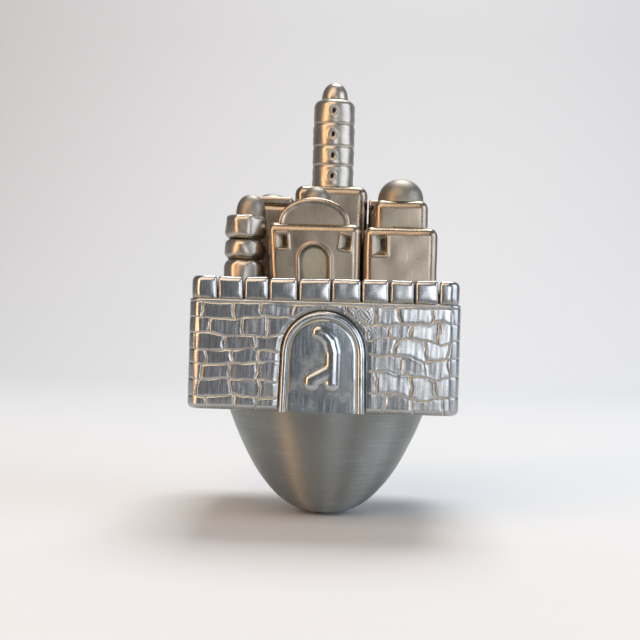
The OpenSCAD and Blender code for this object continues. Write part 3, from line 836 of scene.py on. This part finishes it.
# Steps from the rim to the panel: width and depth, in millimetres
PANEL_STEPS = ((0.07, 0.05), (0.09, 0.05), (0.08, 0.0), (0.3, 0.0), (0.6, 0.0))
# Play under a gate, in millimetres
GATE_PLAY = 0.02
# Strokes of the four game letters, as points in shares of a letter's width and height
LETTERS = {
    "front": (
        ((0.3, 1), (0.58, 0.95), (0.86, 0.83), (1, 0.62), (1, 0)),
        ((1, 0.27), (0.7, 0.21), (0.3, 0.12), (0, 0.05), (0, 0)),
    ),
    "right": (((0.35, 1), (0.9, 0.97), (1, 0.85), (1, 0.05), (0.1, 0)),),
    "back": (((-0.35, 1), (-0.25, 0.15), (0.2, 0), (1.1, 0.1), (1.35, 1)), ((0.5, 0.98), (0.42, 0.04))),
    "left": (((0, 1), (0.85, 1), (1, 0.88), (1, 0)), ((0, 0.5), (0, 0))),
}
# Widths of the letters' strokes, as shares of the front one's
BOLD = {"front": 1.0, "right": 1.0, "back": 0.66, "left": 0.85}
# Spacing of the balls that make a stroke and depth of a letter's flat back, in millimetres
BALL_STEP, LETTER_BACK = 0.18, 0.25
# Rounds of smoothing that soften a letter's inner corners
SOFTEN = 8


def gate_mesh(gate, foot):
    """Arched plaque with a half-round raised rim that runs down to its foot on both sides."""
    low, high = box_mm("front_gate")
    spring = gate.height - gate.arch_r
    outline = [(jamb(gate, z), z) for z in np.linspace(-2 * gate.rim_w, spring, JAMB_STEPS)]
    for turn in np.linspace(0, math.pi / 2, ARCH_STEPS)[1:]:
        z = spring + gate.arch_r * math.sin(turn)
        outline.append((min(gate.arch_r * math.cos(turn), jamb(gate, z)), z))
    outline += [(-x, z) for x, z in reversed(outline[:-1])]
    panel = low[1] + gate.rim_h
    bm = slab([(x, z + foot) for x, z in outline], panel, high[1])
    face = front_face(bm)
    before = 0.0
    for turn in np.linspace(0, math.pi, RIM_STEPS)[1:]:
        share = (1 - math.cos(turn)) / 2
        inset(bm, face, (share - before) * gate.rim_w)
        for v in face.verts:
            v.co.y = panel - gate.rim_h * math.sin(turn)
        before = share
    for width, sink in PANEL_STEPS:
        inset(bm, face, width)
        for v in face.verts:
            v.co.y = panel + sink
    cut_off(bm, (0, 0, foot + GATE_PLAY), (0, 0, -1))
    return bm


def letter_mesh(strokes, low, high, r, gate):
    """A letter of half-round strokes, cast in one with soft inner corners."""
    bm = bmesh.new()
    size = high - low
    for stroke in strokes:
        for start, end in zip(stroke, stroke[1:]):
            start, end = np.array(start), np.array(end)
            count = max(int(np.linalg.norm((end - start) * size[[0, 2]]) / BALL_STEP), 1)
            for k in range(count + 1):
                share = start + (end - start) * k / count
                at = Matrix.Translation((low[0] + share[0] * size[0], 0, low[2] + share[1] * size[2]))
                bmesh.ops.create_icosphere(bm, subdivisions=3, radius=r, matrix=at)
    mesh = bpy.data.meshes.new("strokes")
    bm.to_mesh(mesh)
    bm.free()
    rough = bpy.data.objects.new("strokes", mesh)
    bpy.context.scene.collection.objects.link(rough)
    remesh = rough.modifiers.new("one body", "REMESH")
    remesh.mode = "VOXEL"
    remesh.voxel_size = gate.voxel
    bpy.context.view_layer.update()
    joined = bpy.data.meshes.new_from_object(rough.evaluated_get(bpy.context.evaluated_depsgraph_get()))
    bm = bmesh.new()
    bm.from_mesh(joined)
    bpy.data.objects.remove(rough)
    for old in (mesh, joined):
        bpy.data.meshes.remove(old)
    every_way = {"use_axis_x": True, "use_axis_y": True, "use_axis_z": True}
    for _ in range(SOFTEN):
        bmesh.ops.smooth_vert(bm, verts=bm.verts, factor=0.5, **every_way)
    bmesh.ops.scale(bm, vec=(1, gate.relief / r, 1), verts=bm.verts)
    cut_off(bm, (0, LETTER_BACK, 0), (0, 1, 0))
    return bm


# Operators

# Tip: thickness of its sheet and floor of its hollow in millimetres, power of its curve and steps round it
TIP_T, TIP_FLOOR, TIP_POWER, TIP_ROUND = 0.9, 2, 2.5, 160


class DREIDEL_OT_spinning_tip(bpy.types.Operator):
    """Spun cup that the body turns on"""

    bl_idname = "dreidel.spinning_tip"
    bl_label = "Spinning tip"

    def execute(self, context):
        high = box_mm("spinning_tip")[1]
        rim, top = high[0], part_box("front_wall")[0].z / MM
        outer = [(rim * s, top * s**TIP_POWER) for s in np.linspace(0, 1, 64)]
        inner = []
        for s in np.linspace(1, 0, 24):
            inner.append(((rim - TIP_T) * s, TIP_FLOOR + (top - TIP_FLOOR) * s**TIP_POWER))
        seat = [(rim, high[2]), (rim - TIP_T, high[2])]
        bm = turned(outer + seat + inner, TIP_ROUND)
        keep(bm, "spun_tip", "spun_silver", spun_silver(), "spinning_tip", swell=TIP_SWELL)
        return {"FINISHED"}


class DREIDEL_OT_plates(bpy.types.Operator):
    """Base plate and deck, which keep their solids"""

    bl_idname = "dreidel.plates"
    bl_label = "Base plate and deck"

    def execute(self, context):
        for node in ("base_plate", "roof_deck"):
            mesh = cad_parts[node].data
            mesh.materials.clear()
            mesh.materials.append(plate_silver())
        return {"FINISHED"}


class DREIDEL_OT_walls(bpy.types.Operator):
    """Four stone walls"""

    bl_idname = "dreidel.walls"
    bl_label = "Walls"

    def execute(self, context):
        finish = {"swell": STONE_SWELL, "buff": STONE_BUFF}
        for turns, side in enumerate(SIDES):
            bm = wall_mesh(turns, context.scene.dreidel_wall, context.scene.dreidel_gate)
            keep(bm, f"{side}_stones", "stone_silver", stone_silver(), f"{side}_wall", turns, **finish)
        return {"FINISHED"}


class DREIDEL_OT_battlements(bpy.types.Operator):
    """Merlons on the four walls"""

    bl_idname = "dreidel.battlements"
    bl_label = "Battlements"

    def execute(self, context):
        for turns, side in enumerate(SIDES):
            bm = battlement_mesh(turns, context.scene.dreidel_wall)
            keep(bm, f"{side}_merlons", "stone_silver", polished_silver(), None, turns, foot=MERLON_FOOT)
        return {"FINISHED"}


class DREIDEL_OT_gates(bpy.types.Operator):
    """Arched plaque on each wall"""

    bl_idname = "dreidel.gates"
    bl_label = "Gates"

    def execute(self, context):
        foot = box_mm("front_wall")[0][2]
        for turns, side in enumerate(SIDES):
            bm = gate_mesh(context.scene.dreidel_gate, foot)
            keep(bm, f"{side}_plaque", "gate_silver", gate_silver(), f"{side}_gate", turns)
        return {"FINISHED"}


class DREIDEL_OT_letters(bpy.types.Operator):
    """The game letter on each gate"""

    bl_idname = "dreidel.letters"
    bl_label = "Letters"

    def execute(self, context):
        gate = context.scene.dreidel_gate
        low, high = box_mm("front_letter")
        inner = gate.stroke / 2
        middle = (high[0] + low[0]) / 2
        width = high[0] - low[0] - gate.stroke
        corner = np.array((middle - width / 2, 0, low[2] + inner))
        other = np.array((middle + width / 2, 0, high[2] - inner))
        for turns, side in enumerate(SIDES):
            bm = letter_mesh(LETTERS[side], corner, other, BOLD[side] * gate.stroke / 2, gate)
            bmesh.ops.translate(bm, vec=(0, low[1] + gate.relief, 0), verts=bm.verts)
            keep(bm, f"{side}_relief", "gate_silver", gate_silver(), f"{side}_letter", turns, LETTER_SWELL)
        return {"FINISHED"}


# Plinth of the tower, in millimetres: rounding of its edges and height of its dark foot
PLINTH_R, PLINTH_FOOT = 1.4, 1.2
# Tower: joints of its storeys over the plinth, and seat in it
TOWER_JOINTS, TOWER_SEAT = (3.5, 6.5, 10.1), 0.3
# How far it narrows, at what distance from its middle, and how far it flares within a height at its foot
TAPER, TAPER_H, FLARE, FLARE_H = 0.1, 7, 0.12, 0.4
# Depth and half width of its joints, swell of a storey, round of its shoulder and the share kept of that
GROOVE_D, GROOVE_W, STOREY_SWELL, SHOULDER, SHOULDER_KEPT = 0.1, 0.22, 0.04, 1.0, 0.98
# Its windows: half width and half height of the dish and of the hole, and their depths
DISH_W, DISH_H, HOLE_W, HOLE_H, DISH_D, HOLE_D = 0.8, 0.9, 0.27, 0.38, 0.06, 0.5
# Height and half width of a dish's rim, its reach in dishes, and the depth past which a hole gets painted
# shade
DISH_RIM, DISH_RIM_W, DISH_REACH, HOLE_SHADE_FROM = 0.03, 0.22, 1.6, 0.12
# Cap: height and width of its neck, the latter as a share, height of its eaves, power of its curve and
# height of its dark foot
CAP_NECK_H, CAP_NECK, CAP_EAVES, CAP_POWER, CAP_FOOT = 0.05, 0.94, 0.2, 0.78, 0.3
# Steps round the tower and its cap
TOWER_ROUND, CAP_ROUND = 220, 96


class DREIDEL_OT_stem(bpy.types.Operator):
    """Tower, its cap and its plinth"""

    bl_idname = "dreidel.stem"
    bl_label = "Stem"

    def execute(self, context):
        low, high = box_mm("stem_plinth")
        low[2] = deck_top()
        bm = soft_box(low, high, PLINTH_R, (context.scene.dreidel_house.grid,) * 3)
        plinth = {"swell": PLINTH_SWELL, "foot": PLINTH_FOOT}
        keep(bm, "tower_plinth", "stem_silver", house_silver(), "stem_plinth", **plinth)
        self.shaft(high[2])
        self.cap()
        return {"FINISHED"}

    def shaft(self, foot):
        """Storeys with sunk joints between them and small windows."""
        r, top = box_mm("stem")[1][0], box_mm("stem")[1][2]
        joints = [foot + h for h in TOWER_JOINTS]
        floors = [foot, *joints, top]
        z = np.linspace(foot, top, 180)
        shoulder = np.clip(z - (top - SHOULDER), 0, 1)
        taper = TAPER * ((z - (foot + top) / 2) / TAPER_H) ** 2
        radius = r - taper + FLARE * np.exp(-(z - foot) / FLARE_H)
        for joint in joints:
            radius -= GROOVE_D * bell((z - joint) / GROOVE_W)
        for lower, upper in zip(floors, floors[1:]):
            inside = np.clip((z - lower) / (upper - lower), 0, 1)
            radius += STOREY_SWELL * np.sin(math.pi * inside) ** 2
        radius = np.minimum(radius, r) - (1 - np.sqrt(1 - SHOULDER_KEPT * shoulder**2))
        seat = foot - TOWER_SEAT
        bm = turned([(0, seat), (radius[0], seat), *zip(radius, z), (0, top)], TOWER_ROUND)
        self.windows(bm, r, [(a + b) / 2 for a, b in zip(floors, floors[1:])])
        keep(bm, "tower_shaft", "stem_silver", tower_silver(), "stem", swell=TOWER_SWELL)

    def windows(self, bm, r, middles):
        """A round dish with a hole in it on four sides of each storey."""
        sunk = bm.verts.layers.float.new("sunk")
        for v in bm.verts:
            turn = math.atan2(v.co.x, -v.co.y) % (math.pi / 2)
            across = (turn if turn < math.pi / 4 else turn - math.pi / 2) * r
            for middle in middles:
                up = v.co.z - middle
                dish = math.hypot(across / DISH_W, up / DISH_H)
                hole = math.hypot(across / HOLE_W, up / HOLE_H)
                if dish < DISH_REACH and v.co.xy.length > 1:
                    rim = DISH_RIM * math.exp(-(((dish - 1) / DISH_RIM_W) ** 2))
                    push = DISH_D * math.exp(-(dish**2) * 2.2) - rim
                    push += HOLE_D * float(smooth(np.float64(1.25 - hole), 0, 0.5))
                    # Depth past this start is recorded, so that the hole's tone is painted dark as shade
                    v[sunk] = max(push - HOLE_SHADE_FROM, 0) * 2
                    v.co.xy *= 1 - push / v.co.xy.length

    def cap(self):
        """Pointed cap on a narrower neck."""
        high = box_mm("stem_cap")[1]
        r, foot, top = high[0], box_mm("stem")[1][2], high[2]
        turn = np.linspace(0, 1, 40)[:-1] * math.pi / 2
        rise = foot + CAP_EAVES + (top - foot - CAP_EAVES) * np.sin(turn)
        dome = [*zip(r * np.cos(turn) ** CAP_POWER, rise)]
        neck, seat = r * CAP_NECK, foot - TOWER_SEAT
        bm = turned([(0, seat), (neck, seat), (neck, foot + CAP_NECK_H), *dome, (0, top)], CAP_ROUND)
        keep(bm, "tower_cap", "stem_silver", tower_silver(), "stem_cap", foot=CAP_FOOT)


# Houses, in millimetres: heights of the dark feet of the row's houses, the side houses and upper blocks
HOUSE_FOOT, SIDE_FOOT, UPPER_FOOT = 3.0, 1.0, 0.9
# Domes: height of the drum, power of the curve and height of the dark foot
SMALL_DOME, ROUND_DOME = (3.9, 1.0, 0.4), (0.3, 0.9, 0.5)
POINTED_DOME, CUPOLA = (0.3, 0.8, 0.5), (0.2, 0.9, 0.4)
# Their seat in the house below, and the steps round one
DOME_SEAT, DOME_ROUND = 0.2, 110


def keep_house(bm, name, node, turns, foot=0.0):
    """Keeps a block of a house, with the soft unevenness of its casting."""
    swell = (bpy.context.scene.dreidel_house.ripple, HOUSE_SWELL_SIZE)
    keep(bm, name, "house_silver", house_silver(), node, turns, swell, foot)


def keep_dome(solid, foot, shape, name, node, turns):
    """Makes a dome on a short drum, from the box of its solid on the front or right, and keeps it."""
    low, high = box_mm(solid)
    drum, power, dark = shape
    r, top = (high[0] - low[0]) / 2, high[2]
    profile = [(0, foot - DOME_SEAT), (r, foot - DOME_SEAT)]
    profile += [(r, foot + s * drum) for s in np.linspace(0, 1, 8)[:-1]]
    for s in np.linspace(0, 1, 40)[:-1]:
        turn = math.pi / 2 * s
        profile.append((r * math.cos(turn) ** power, foot + drum + (top - foot - drum) * math.sin(turn)))
    bm = turned([*profile, (0, top)], DOME_ROUND)
    centre = (low + high) / 2
    bmesh.ops.translate(bm, vec=(centre[0], centre[1], 0), verts=bm.verts)
    keep(bm, name, "house_silver", dome_silver(), node, turns, foot=dark)


# Gate house: width and height of its windows, how far they lie under the roof and in from its sides, their
# turns on the left and right, and lean of its left side
GATE_WINDOW, GATE_WINDOW_DROP, GATE_WINDOW_IN = (1.55, 2.1), 2.75, 2.3
GATE_WINDOW_TURNS, HOUSE_LEAN = (0.03, -0.14), 0.9
# Pediment: rounding of its edge, height of its dark foot, width and depth of its border's steps
PEDIMENT_R, PEDIMENT_FOOT = 0.55, 0.5
PEDIMENT_STEPS = ((0.12, 0.0), (0.18, 0.06), (0.3, 0.0))


class DREIDEL_OT_gate_houses(bpy.types.Operator):
    """House behind the front and the back gate, with its pediment and dome"""

    bl_idname = "dreidel.gate_houses"
    bl_label = "Gate houses"

    def execute(self, context):
        house = context.scene.dreidel_house
        deck = deck_top()
        for row, turns in ROWS.items():
            low, high = box_mm("front_house")
            low[2] = deck
            middle = (low[0] + high[0]) / 2
            bm = soft_box(low, high, house.edge, (house.fine, house.grid, house.fine))

            def openings(x, z):
                deep = doorway(x - middle, z - deck, house.sunk)
                aside = (high[0] - low[0]) / 2 - GATE_WINDOW_IN
                for at, turn in zip((-aside, aside), GATE_WINDOW_TURNS):
                    up = z - high[2] + GATE_WINDOW_DROP
                    deep = deep + funnel(x - middle - at, up, GATE_WINDOW, house.slot, turn)
                return deep

            press(bm, 1, low[1], 1, openings)
            merge_hidden(bm, 1, high[1])
            merge_hidden(bm, 2, low[2])
            # Its left side leans in towards the foot
            co = places(bm)
            from_right = (high[0] - co[:, 0]) / (high[0] - low[0])
            co[:, 0] += HOUSE_LEAN * from_right * (high[2] - co[:, 2]) / (high[2] - low[2])
            move_to(bm, co)
            keep_house(bm, f"{row}_gate_house", f"{row}_house", turns, HOUSE_FOOT)
            self.pediment(row, turns, high[2])
            keep_dome("front_dome", high[2], SMALL_DOME, f"{row}_small_dome", f"{row}_dome", turns)
        return {"FINISHED"}

    def pediment(self, row, turns, foot):
        """Half-round slab with a soft edge and a faint border."""
        low, high = box_mm("front_pediment")
        middle, reach = (low[0] + high[0]) / 2, (high[0] - low[0]) / 2
        outline = [
            (middle + reach * math.cos(t), foot + (high[2] - foot) * math.sin(t))
            for t in np.linspace(0, math.pi, 49)
        ]
        bm = slab([(middle + reach, foot - 1), *outline, (middle - reach, foot - 1)], low[1], high[1])
        sharp = [e for e in bm.edges if len(e.link_faces) == 2 and e.calc_face_angle() > 1.2]
        round_edges(bm, [e for e in sharp if max(v.co.z for v in e.verts) > foot], PEDIMENT_R, 6)
        for width, sink in PEDIMENT_STEPS:
            inset(bm, front_face(bm), width)
            bmesh.ops.translate(bm, vec=(0, sink, 0), verts=front_face(bm).verts)
        place = (f"{row}_pediment", turns)
        keep(bm, f"{row}_half_round", "house_silver", house_silver(), *place, foot=PEDIMENT_FOOT)


# Corner house: width and height of its windows, how far they lie under the roof, the front one from the
# left side, their turn, and seat of the upper block
CORNER_WINDOW, CORNER_WINDOW_DROP, CORNER_WINDOW_IN = (1.95, 3.0), 2.65, 2.5
CORNER_WINDOW_TURN, UPPER_SEAT = 0.02, 0.1


class DREIDEL_OT_corner_houses(bpy.types.Operator):
    """House at the corner beside the front and the back gate house, in two blocks with a dome"""

    bl_idname = "dreidel.corner_houses"
    bl_label = "Corner houses"

    def execute(self, context):
        house = context.scene.dreidel_house
        for row, turns in ROWS.items():
            low, high = box_mm("front_corner_house")
            low[2] = deck_top()
            bm = soft_box(low, high, house.edge, (house.fine,) * 3)

            def window(across, z):
                up = z - high[2] + CORNER_WINDOW_DROP
                return funnel(across, up, CORNER_WINDOW, house.slot, CORNER_WINDOW_TURN)

            press(bm, 1, low[1], 1, lambda x, z: window(x - low[0] - CORNER_WINDOW_IN, z))
            press(bm, 0, high[0], -1, lambda y, z: window(y - (low[1] + high[1]) / 2, z))
            for axis, at in ((1, high[1]), (0, low[0]), (2, low[2])):
                merge_hidden(bm, axis, at)
            keep_house(bm, f"{row}_corner_block", f"{row}_corner_house", turns, HOUSE_FOOT)
            foot = high[2]
            low, high = box_mm("front_corner_upper")
            low[2] = foot - UPPER_SEAT
            bm = soft_box(low, high, house.edge, (house.grid,) * 3)
            keep_house(bm, f"{row}_upper_block", f"{row}_corner_upper", turns, UPPER_FOOT)
            dome = (f"{row}_round_dome", f"{row}_corner_dome", turns)
            keep_dome("front_corner_dome", high[2], ROUND_DOME, *dome)
        return {"FINISHED"}


# Turret: rounding of a storey, the most of it as a share of the height, and height of its dark foot
STOREY_R, STOREY_R_SHARE, STOREY_FOOT = 1.0, 0.36, 0.4


class DREIDEL_OT_turrets(bpy.types.Operator):
    """Turret of three pillowed storeys and a pointed dome, at the front and the back"""

    bl_idname = "dreidel.turrets"
    bl_label = "Turrets"

    def execute(self, context):
        for row, turns in ROWS.items():
            foot = deck_top()
            for storey in ("base", "middle", "top"):
                low, high = box_mm(f"front_turret_{storey}")
                low[2] = foot
                bm = self.storey(low, high)
                place = (f"{row}_turret_{storey}", turns, TURRET_SWELL)
                keep(bm, f"{row}_storey_{storey}", "house_silver", tower_silver(), *place, foot=STOREY_FOOT)
                foot = high[2]
            dome = (f"{row}_pointed_dome", f"{row}_turret_dome", turns)
            keep_dome("front_turret_dome", foot, POINTED_DOME, *dome)
        return {"FINISHED"}

    def storey(self, low, high):
        """An eight-sided cushion."""
        bm = bmesh.new()
        flats, h = high[0] - low[0], high[2] - low[2]
        r = flats / 2 / math.cos(math.pi / 8)
        bmesh.ops.create_cone(bm, cap_ends=True, segments=8, radius1=r, radius2=r, depth=h)
        bmesh.ops.rotate(bm, cent=(0, 0, 0), matrix=Matrix.Rotation(math.pi / 8, 3, "Z"), verts=bm.verts)
        round_edges(bm, list(bm.edges), min(STOREY_R, h * STOREY_R_SHARE), 7)
        middle = ((low[0] + high[0]) / 2, (low[1] + high[1]) / 2, low[2] + h / 2)
        bmesh.ops.translate(bm, vec=middle, verts=bm.verts)
        return bm


# Tall house: width and height of its windows, how far they lie under the roof and apart, their turn and mesh
TALL_WINDOW, TALL_WINDOW_DROP, TALL_WINDOW_STEP = (1.7, 2.3), 3.6, 3.2
TALL_WINDOW_TURN, TALL_GRID = 0.03, 0.14
# Seat, edge and mesh of its roof slab, and mesh of the low wing as a share of the plain one
ROOF_SEAT, ROOF_R, ROOF_GRID, WING_GRID = 0.05, 0.4, 0.12, 0.7


class DREIDEL_OT_side_houses(bpy.types.Operator):
    """Tall flat-roofed house beside the tower and low wing with a dome, on the left and right"""

    bl_idname = "dreidel.side_houses"
    bl_label = "Side houses"

    def execute(self, context):
        house = context.scene.dreidel_house
        for side, turns in (("right", 0), ("left", 2)):
            turn = Matrix.Rotation(-turns * math.pi / 2, 3, "Z")
            low, high = self.turned_box(f"{side}_house", turn)
            low[2] = deck_top()
            bm = soft_box(low, high, house.edge, (house.grid, TALL_GRID, TALL_GRID))

            def windows(y, z):
                deep = np.zeros_like(y)
                up = z - high[2] + TALL_WINDOW_DROP
                for k in (-1, 0, 1):
                    aside = y - TALL_WINDOW_STEP * k
                    deep = deep + funnel(aside, up, TALL_WINDOW, house.slot, TALL_WINDOW_TURN * k)
                return deep

            press(bm, 0, high[0], -1, windows)
            merge_hidden(bm, 0, low[0])
            merge_hidden(bm, 2, low[2])
            keep_house(bm, f"{side}_tall_house", f"{side}_house", turns, SIDE_FOOT)
            foot = high[2]
            low, high = self.turned_box(f"{side}_house_roof", turn)
            low[2] = foot - ROOF_SEAT
            bm = soft_box(low, high, ROOF_R, (house.grid, house.grid, ROOF_GRID))
            keep_house(bm, f"{side}_roof_slab", f"{side}_house_roof", turns)
            low, high = self.turned_box(f"{side}_wing", turn)
            low[2] = deck_top()
            bm = soft_box(low, high, house.edge, (house.grid * WING_GRID,) * 3)
            keep_house(bm, f"{side}_low_wing", f"{side}_wing", turns, SIDE_FOOT)
            dome = (f"{side}_wing_cupola", f"{side}_wing_dome", turns)
            keep_dome("right_wing_dome", high[2], CUPOLA, *dome)
        return {"FINISHED"}

    def turned_box(self, node, turn):
        """Corners of a side's solid, turned to the right side."""
        a, b = (np.array(turn @ Vector(p)) for p in box_mm(node))
        return np.minimum(a, b), np.maximum(a, b)


# Stage, in metres

# Floor: its near edge, where it bends up, radius of the bend, height of the backdrop and half its width
FLOOR_NEAR, FLOOR_FAR, FLOOR_BEND, BACKDROP_H, FLOOR_HALF = -0.105, 0.30, 0.22, 0.9, 1.4
ROOM_COLOUR = "E8F0FF"
# Soft boxes: place, size, power in watts and colour
LAMPS = {
    "key": ((-0.16, -0.40, 0.45), (0.46, 0.44), 1.4, "FFE3C4"),
    "window": ((0.154, -0.55, 0.055), (0.24, 0.15), 0.46, "EEF2FA"),
    "side": ((0.50, -0.17, 0.20), (0.46, 0.40), 1.4, "E8F0FF"),
    "strip": ((-0.35, -0.32, 0.13), (0.10, 0.36), 0.8, "FFC48A"),
    "overhead": ((0.05, 0.20, 0.60), (0.34, 0.34), 2.75, "FFFFFF"),
}
# What they look at: the middle of the dreidel
AIM = (0, 0, 0.034)
# Camera: width of its sensor in millimetres, and where its view begins
SENSOR_W, VIEW_FROM = 36, 0.01


class DREIDEL_OT_stage(bpy.types.Operator):
    """Pale floor that sweeps up behind, soft light and the camera"""

    bl_idname = "dreidel.stage"
    bl_label = "Stage"

    def execute(self, context):
        scene = context.scene
        stage = scene.dreidel_stage
        self.floor(scene, stage)
        world = scene.world or bpy.data.worlds.new("room")
        scene.world = world
        world.use_nodes = True
        back = world.node_tree.nodes["Background"]
        back.inputs["Color"].default_value = (*linear(ROOM_COLOUR), 1)
        back.inputs["Strength"].default_value = stage.room
        for name, lamp in LAMPS.items():
            self.soft_box_light(scene, name, *lamp)
        self.camera(scene, stage)
        scene.view_settings.view_transform = "Standard"
        return {"FINISHED"}

    def floor(self, scene, stage):
        """Floor and backdrop in one curved sheet of matte card, which mirrors nothing."""
        bm = bmesh.new()
        profile = [(FLOOR_NEAR, 0.0), (FLOOR_FAR, 0.0)]
        for t in np.linspace(0, math.pi / 2, 24)[1:]:
            profile.append((FLOOR_FAR + FLOOR_BEND * math.sin(t), FLOOR_BEND * (1 - math.cos(t))))
        profile.append((FLOOR_FAR + FLOOR_BEND, BACKDROP_H))
        verts = [bm.verts.new((-FLOOR_HALF, y, z)) for y, z in profile]
        edges = [bm.edges.new(pair) for pair in zip(verts, verts[1:])]
        grown = bmesh.ops.extrude_edge_only(bm, edges=edges)["geom"]
        bmesh.ops.translate(bm, vec=(2 * FLOOR_HALF, 0, 0), verts=verts_of(grown))
        bmesh.ops.recalc_face_normals(bm, faces=bm.faces)
        mesh = bpy.data.meshes.new("floor")
        bm.to_mesh(mesh)
        bm.free()
        mesh.shade_smooth()
        material = bpy.data.materials.new("matte card, pale")
        material.use_nodes = True
        shader = material.node_tree.nodes["Principled BSDF"]
        shader.inputs["Base Color"].default_value = (*stage.floor, 1)
        shader.inputs["Roughness"].default_value = 0.9
        mesh.materials.append(material)
        floor = bpy.data.objects.new("floor", mesh)
        scene.collection.objects.link(floor)

    def soft_box_light(self, scene, name, place, size, power, colour):
        """A soft box that looks at the dreidel."""
        light = bpy.data.lights.new(name, "AREA")
        light.shape = "RECTANGLE"
        light.size, light.size_y = size
        light.energy = power
        light.color = linear(colour)
        lamp = bpy.data.objects.new(name, light)
        lamp.location = place
        aim = Vector(AIM) - Vector(place)
        lamp.rotation_euler = aim.to_track_quat("-Z", "Y").to_euler()
        scene.collection.objects.link(lamp)

    def camera(self, scene, stage):
        """Camera square on the front wall, as the photograph was taken."""
        lens = bpy.data.cameras.new("camera")
        lens.lens = stage.lens
        lens.sensor_width = SENSOR_W
        lens.clip_start = VIEW_FROM
        camera = bpy.data.objects.new("camera", lens)
        camera.rotation_mode = "QUATERNION"
        stand = Matrix.Translation((-stage.aside * MM, -stage.distance * MM, stage.height * MM))
        level = Euler((math.pi / 2, 0, 0)).to_matrix().to_4x4()
        turn, roll = Matrix.Rotation(stage.turn, 4, "Z"), Matrix.Rotation(stage.lean, 4, "Z")
        camera.matrix_world = turn @ stand @ level @ roll
        scene.collection.objects.link(camera)
        scene.camera = camera


OPERATORS = (
    DREIDEL_OT_spinning_tip,
    DREIDEL_OT_plates,
    DREIDEL_OT_walls,
    DREIDEL_OT_battlements,
    DREIDEL_OT_gates,
    DREIDEL_OT_letters,
    DREIDEL_OT_stem,
    DREIDEL_OT_gate_houses,
    DREIDEL_OT_corner_houses,
    DREIDEL_OT_turrets,
    DREIDEL_OT_side_houses,
    DREIDEL_OT_stage,
)
SETTINGS = {
    "dreidel_wall": WallSizes,
    "dreidel_gate": GateSizes,
    "dreidel_house": HouseSizes,
    "dreidel_silver": SilverColours,
    "dreidel_stage": StageSizes,
}


class DREIDEL_PT_pieces(bpy.types.Panel):
    """Lists the dreidel's pieces"""

    bl_label = "Dreidel"
    bl_idname = "DREIDEL_PT_pieces"
    bl_space_type = "VIEW_3D"
    bl_region_type = "UI"
    bl_category = "Dreidel"

    def draw(self, context):
        for group in SETTINGS:
            settings = getattr(context.scene, group)
            for name in settings.bl_rna.properties.keys():
                if name not in ("rna_type", "name"):
                    self.layout.prop(settings, name)
        for operator in OPERATORS:
            self.layout.operator(operator.bl_idname)


def register():
    """Registers the settings, the operators and the panel."""
    for name, group in SETTINGS.items():
        bpy.utils.register_class(group)
        setattr(bpy.types.Scene, name, PointerProperty(type=group))
    for operator in OPERATORS:
        bpy.utils.register_class(operator)
    bpy.utils.register_class(DREIDEL_PT_pieces)


def unregister():
    """Takes them away again."""
    bpy.utils.unregister_class(DREIDEL_PT_pieces)
    for operator in reversed(OPERATORS):
        bpy.utils.unregister_class(operator)
    for name, group in SETTINGS.items():
        delattr(bpy.types.Scene, name)
        bpy.utils.unregister_class(group)


def main():
    """Builds every piece and the stage."""
    register()
    for operator in OPERATORS:
        group, name = operator.bl_idname.split(".")
        getattr(getattr(bpy.ops, group), name)()


if __name__ == "__main__":
    main()
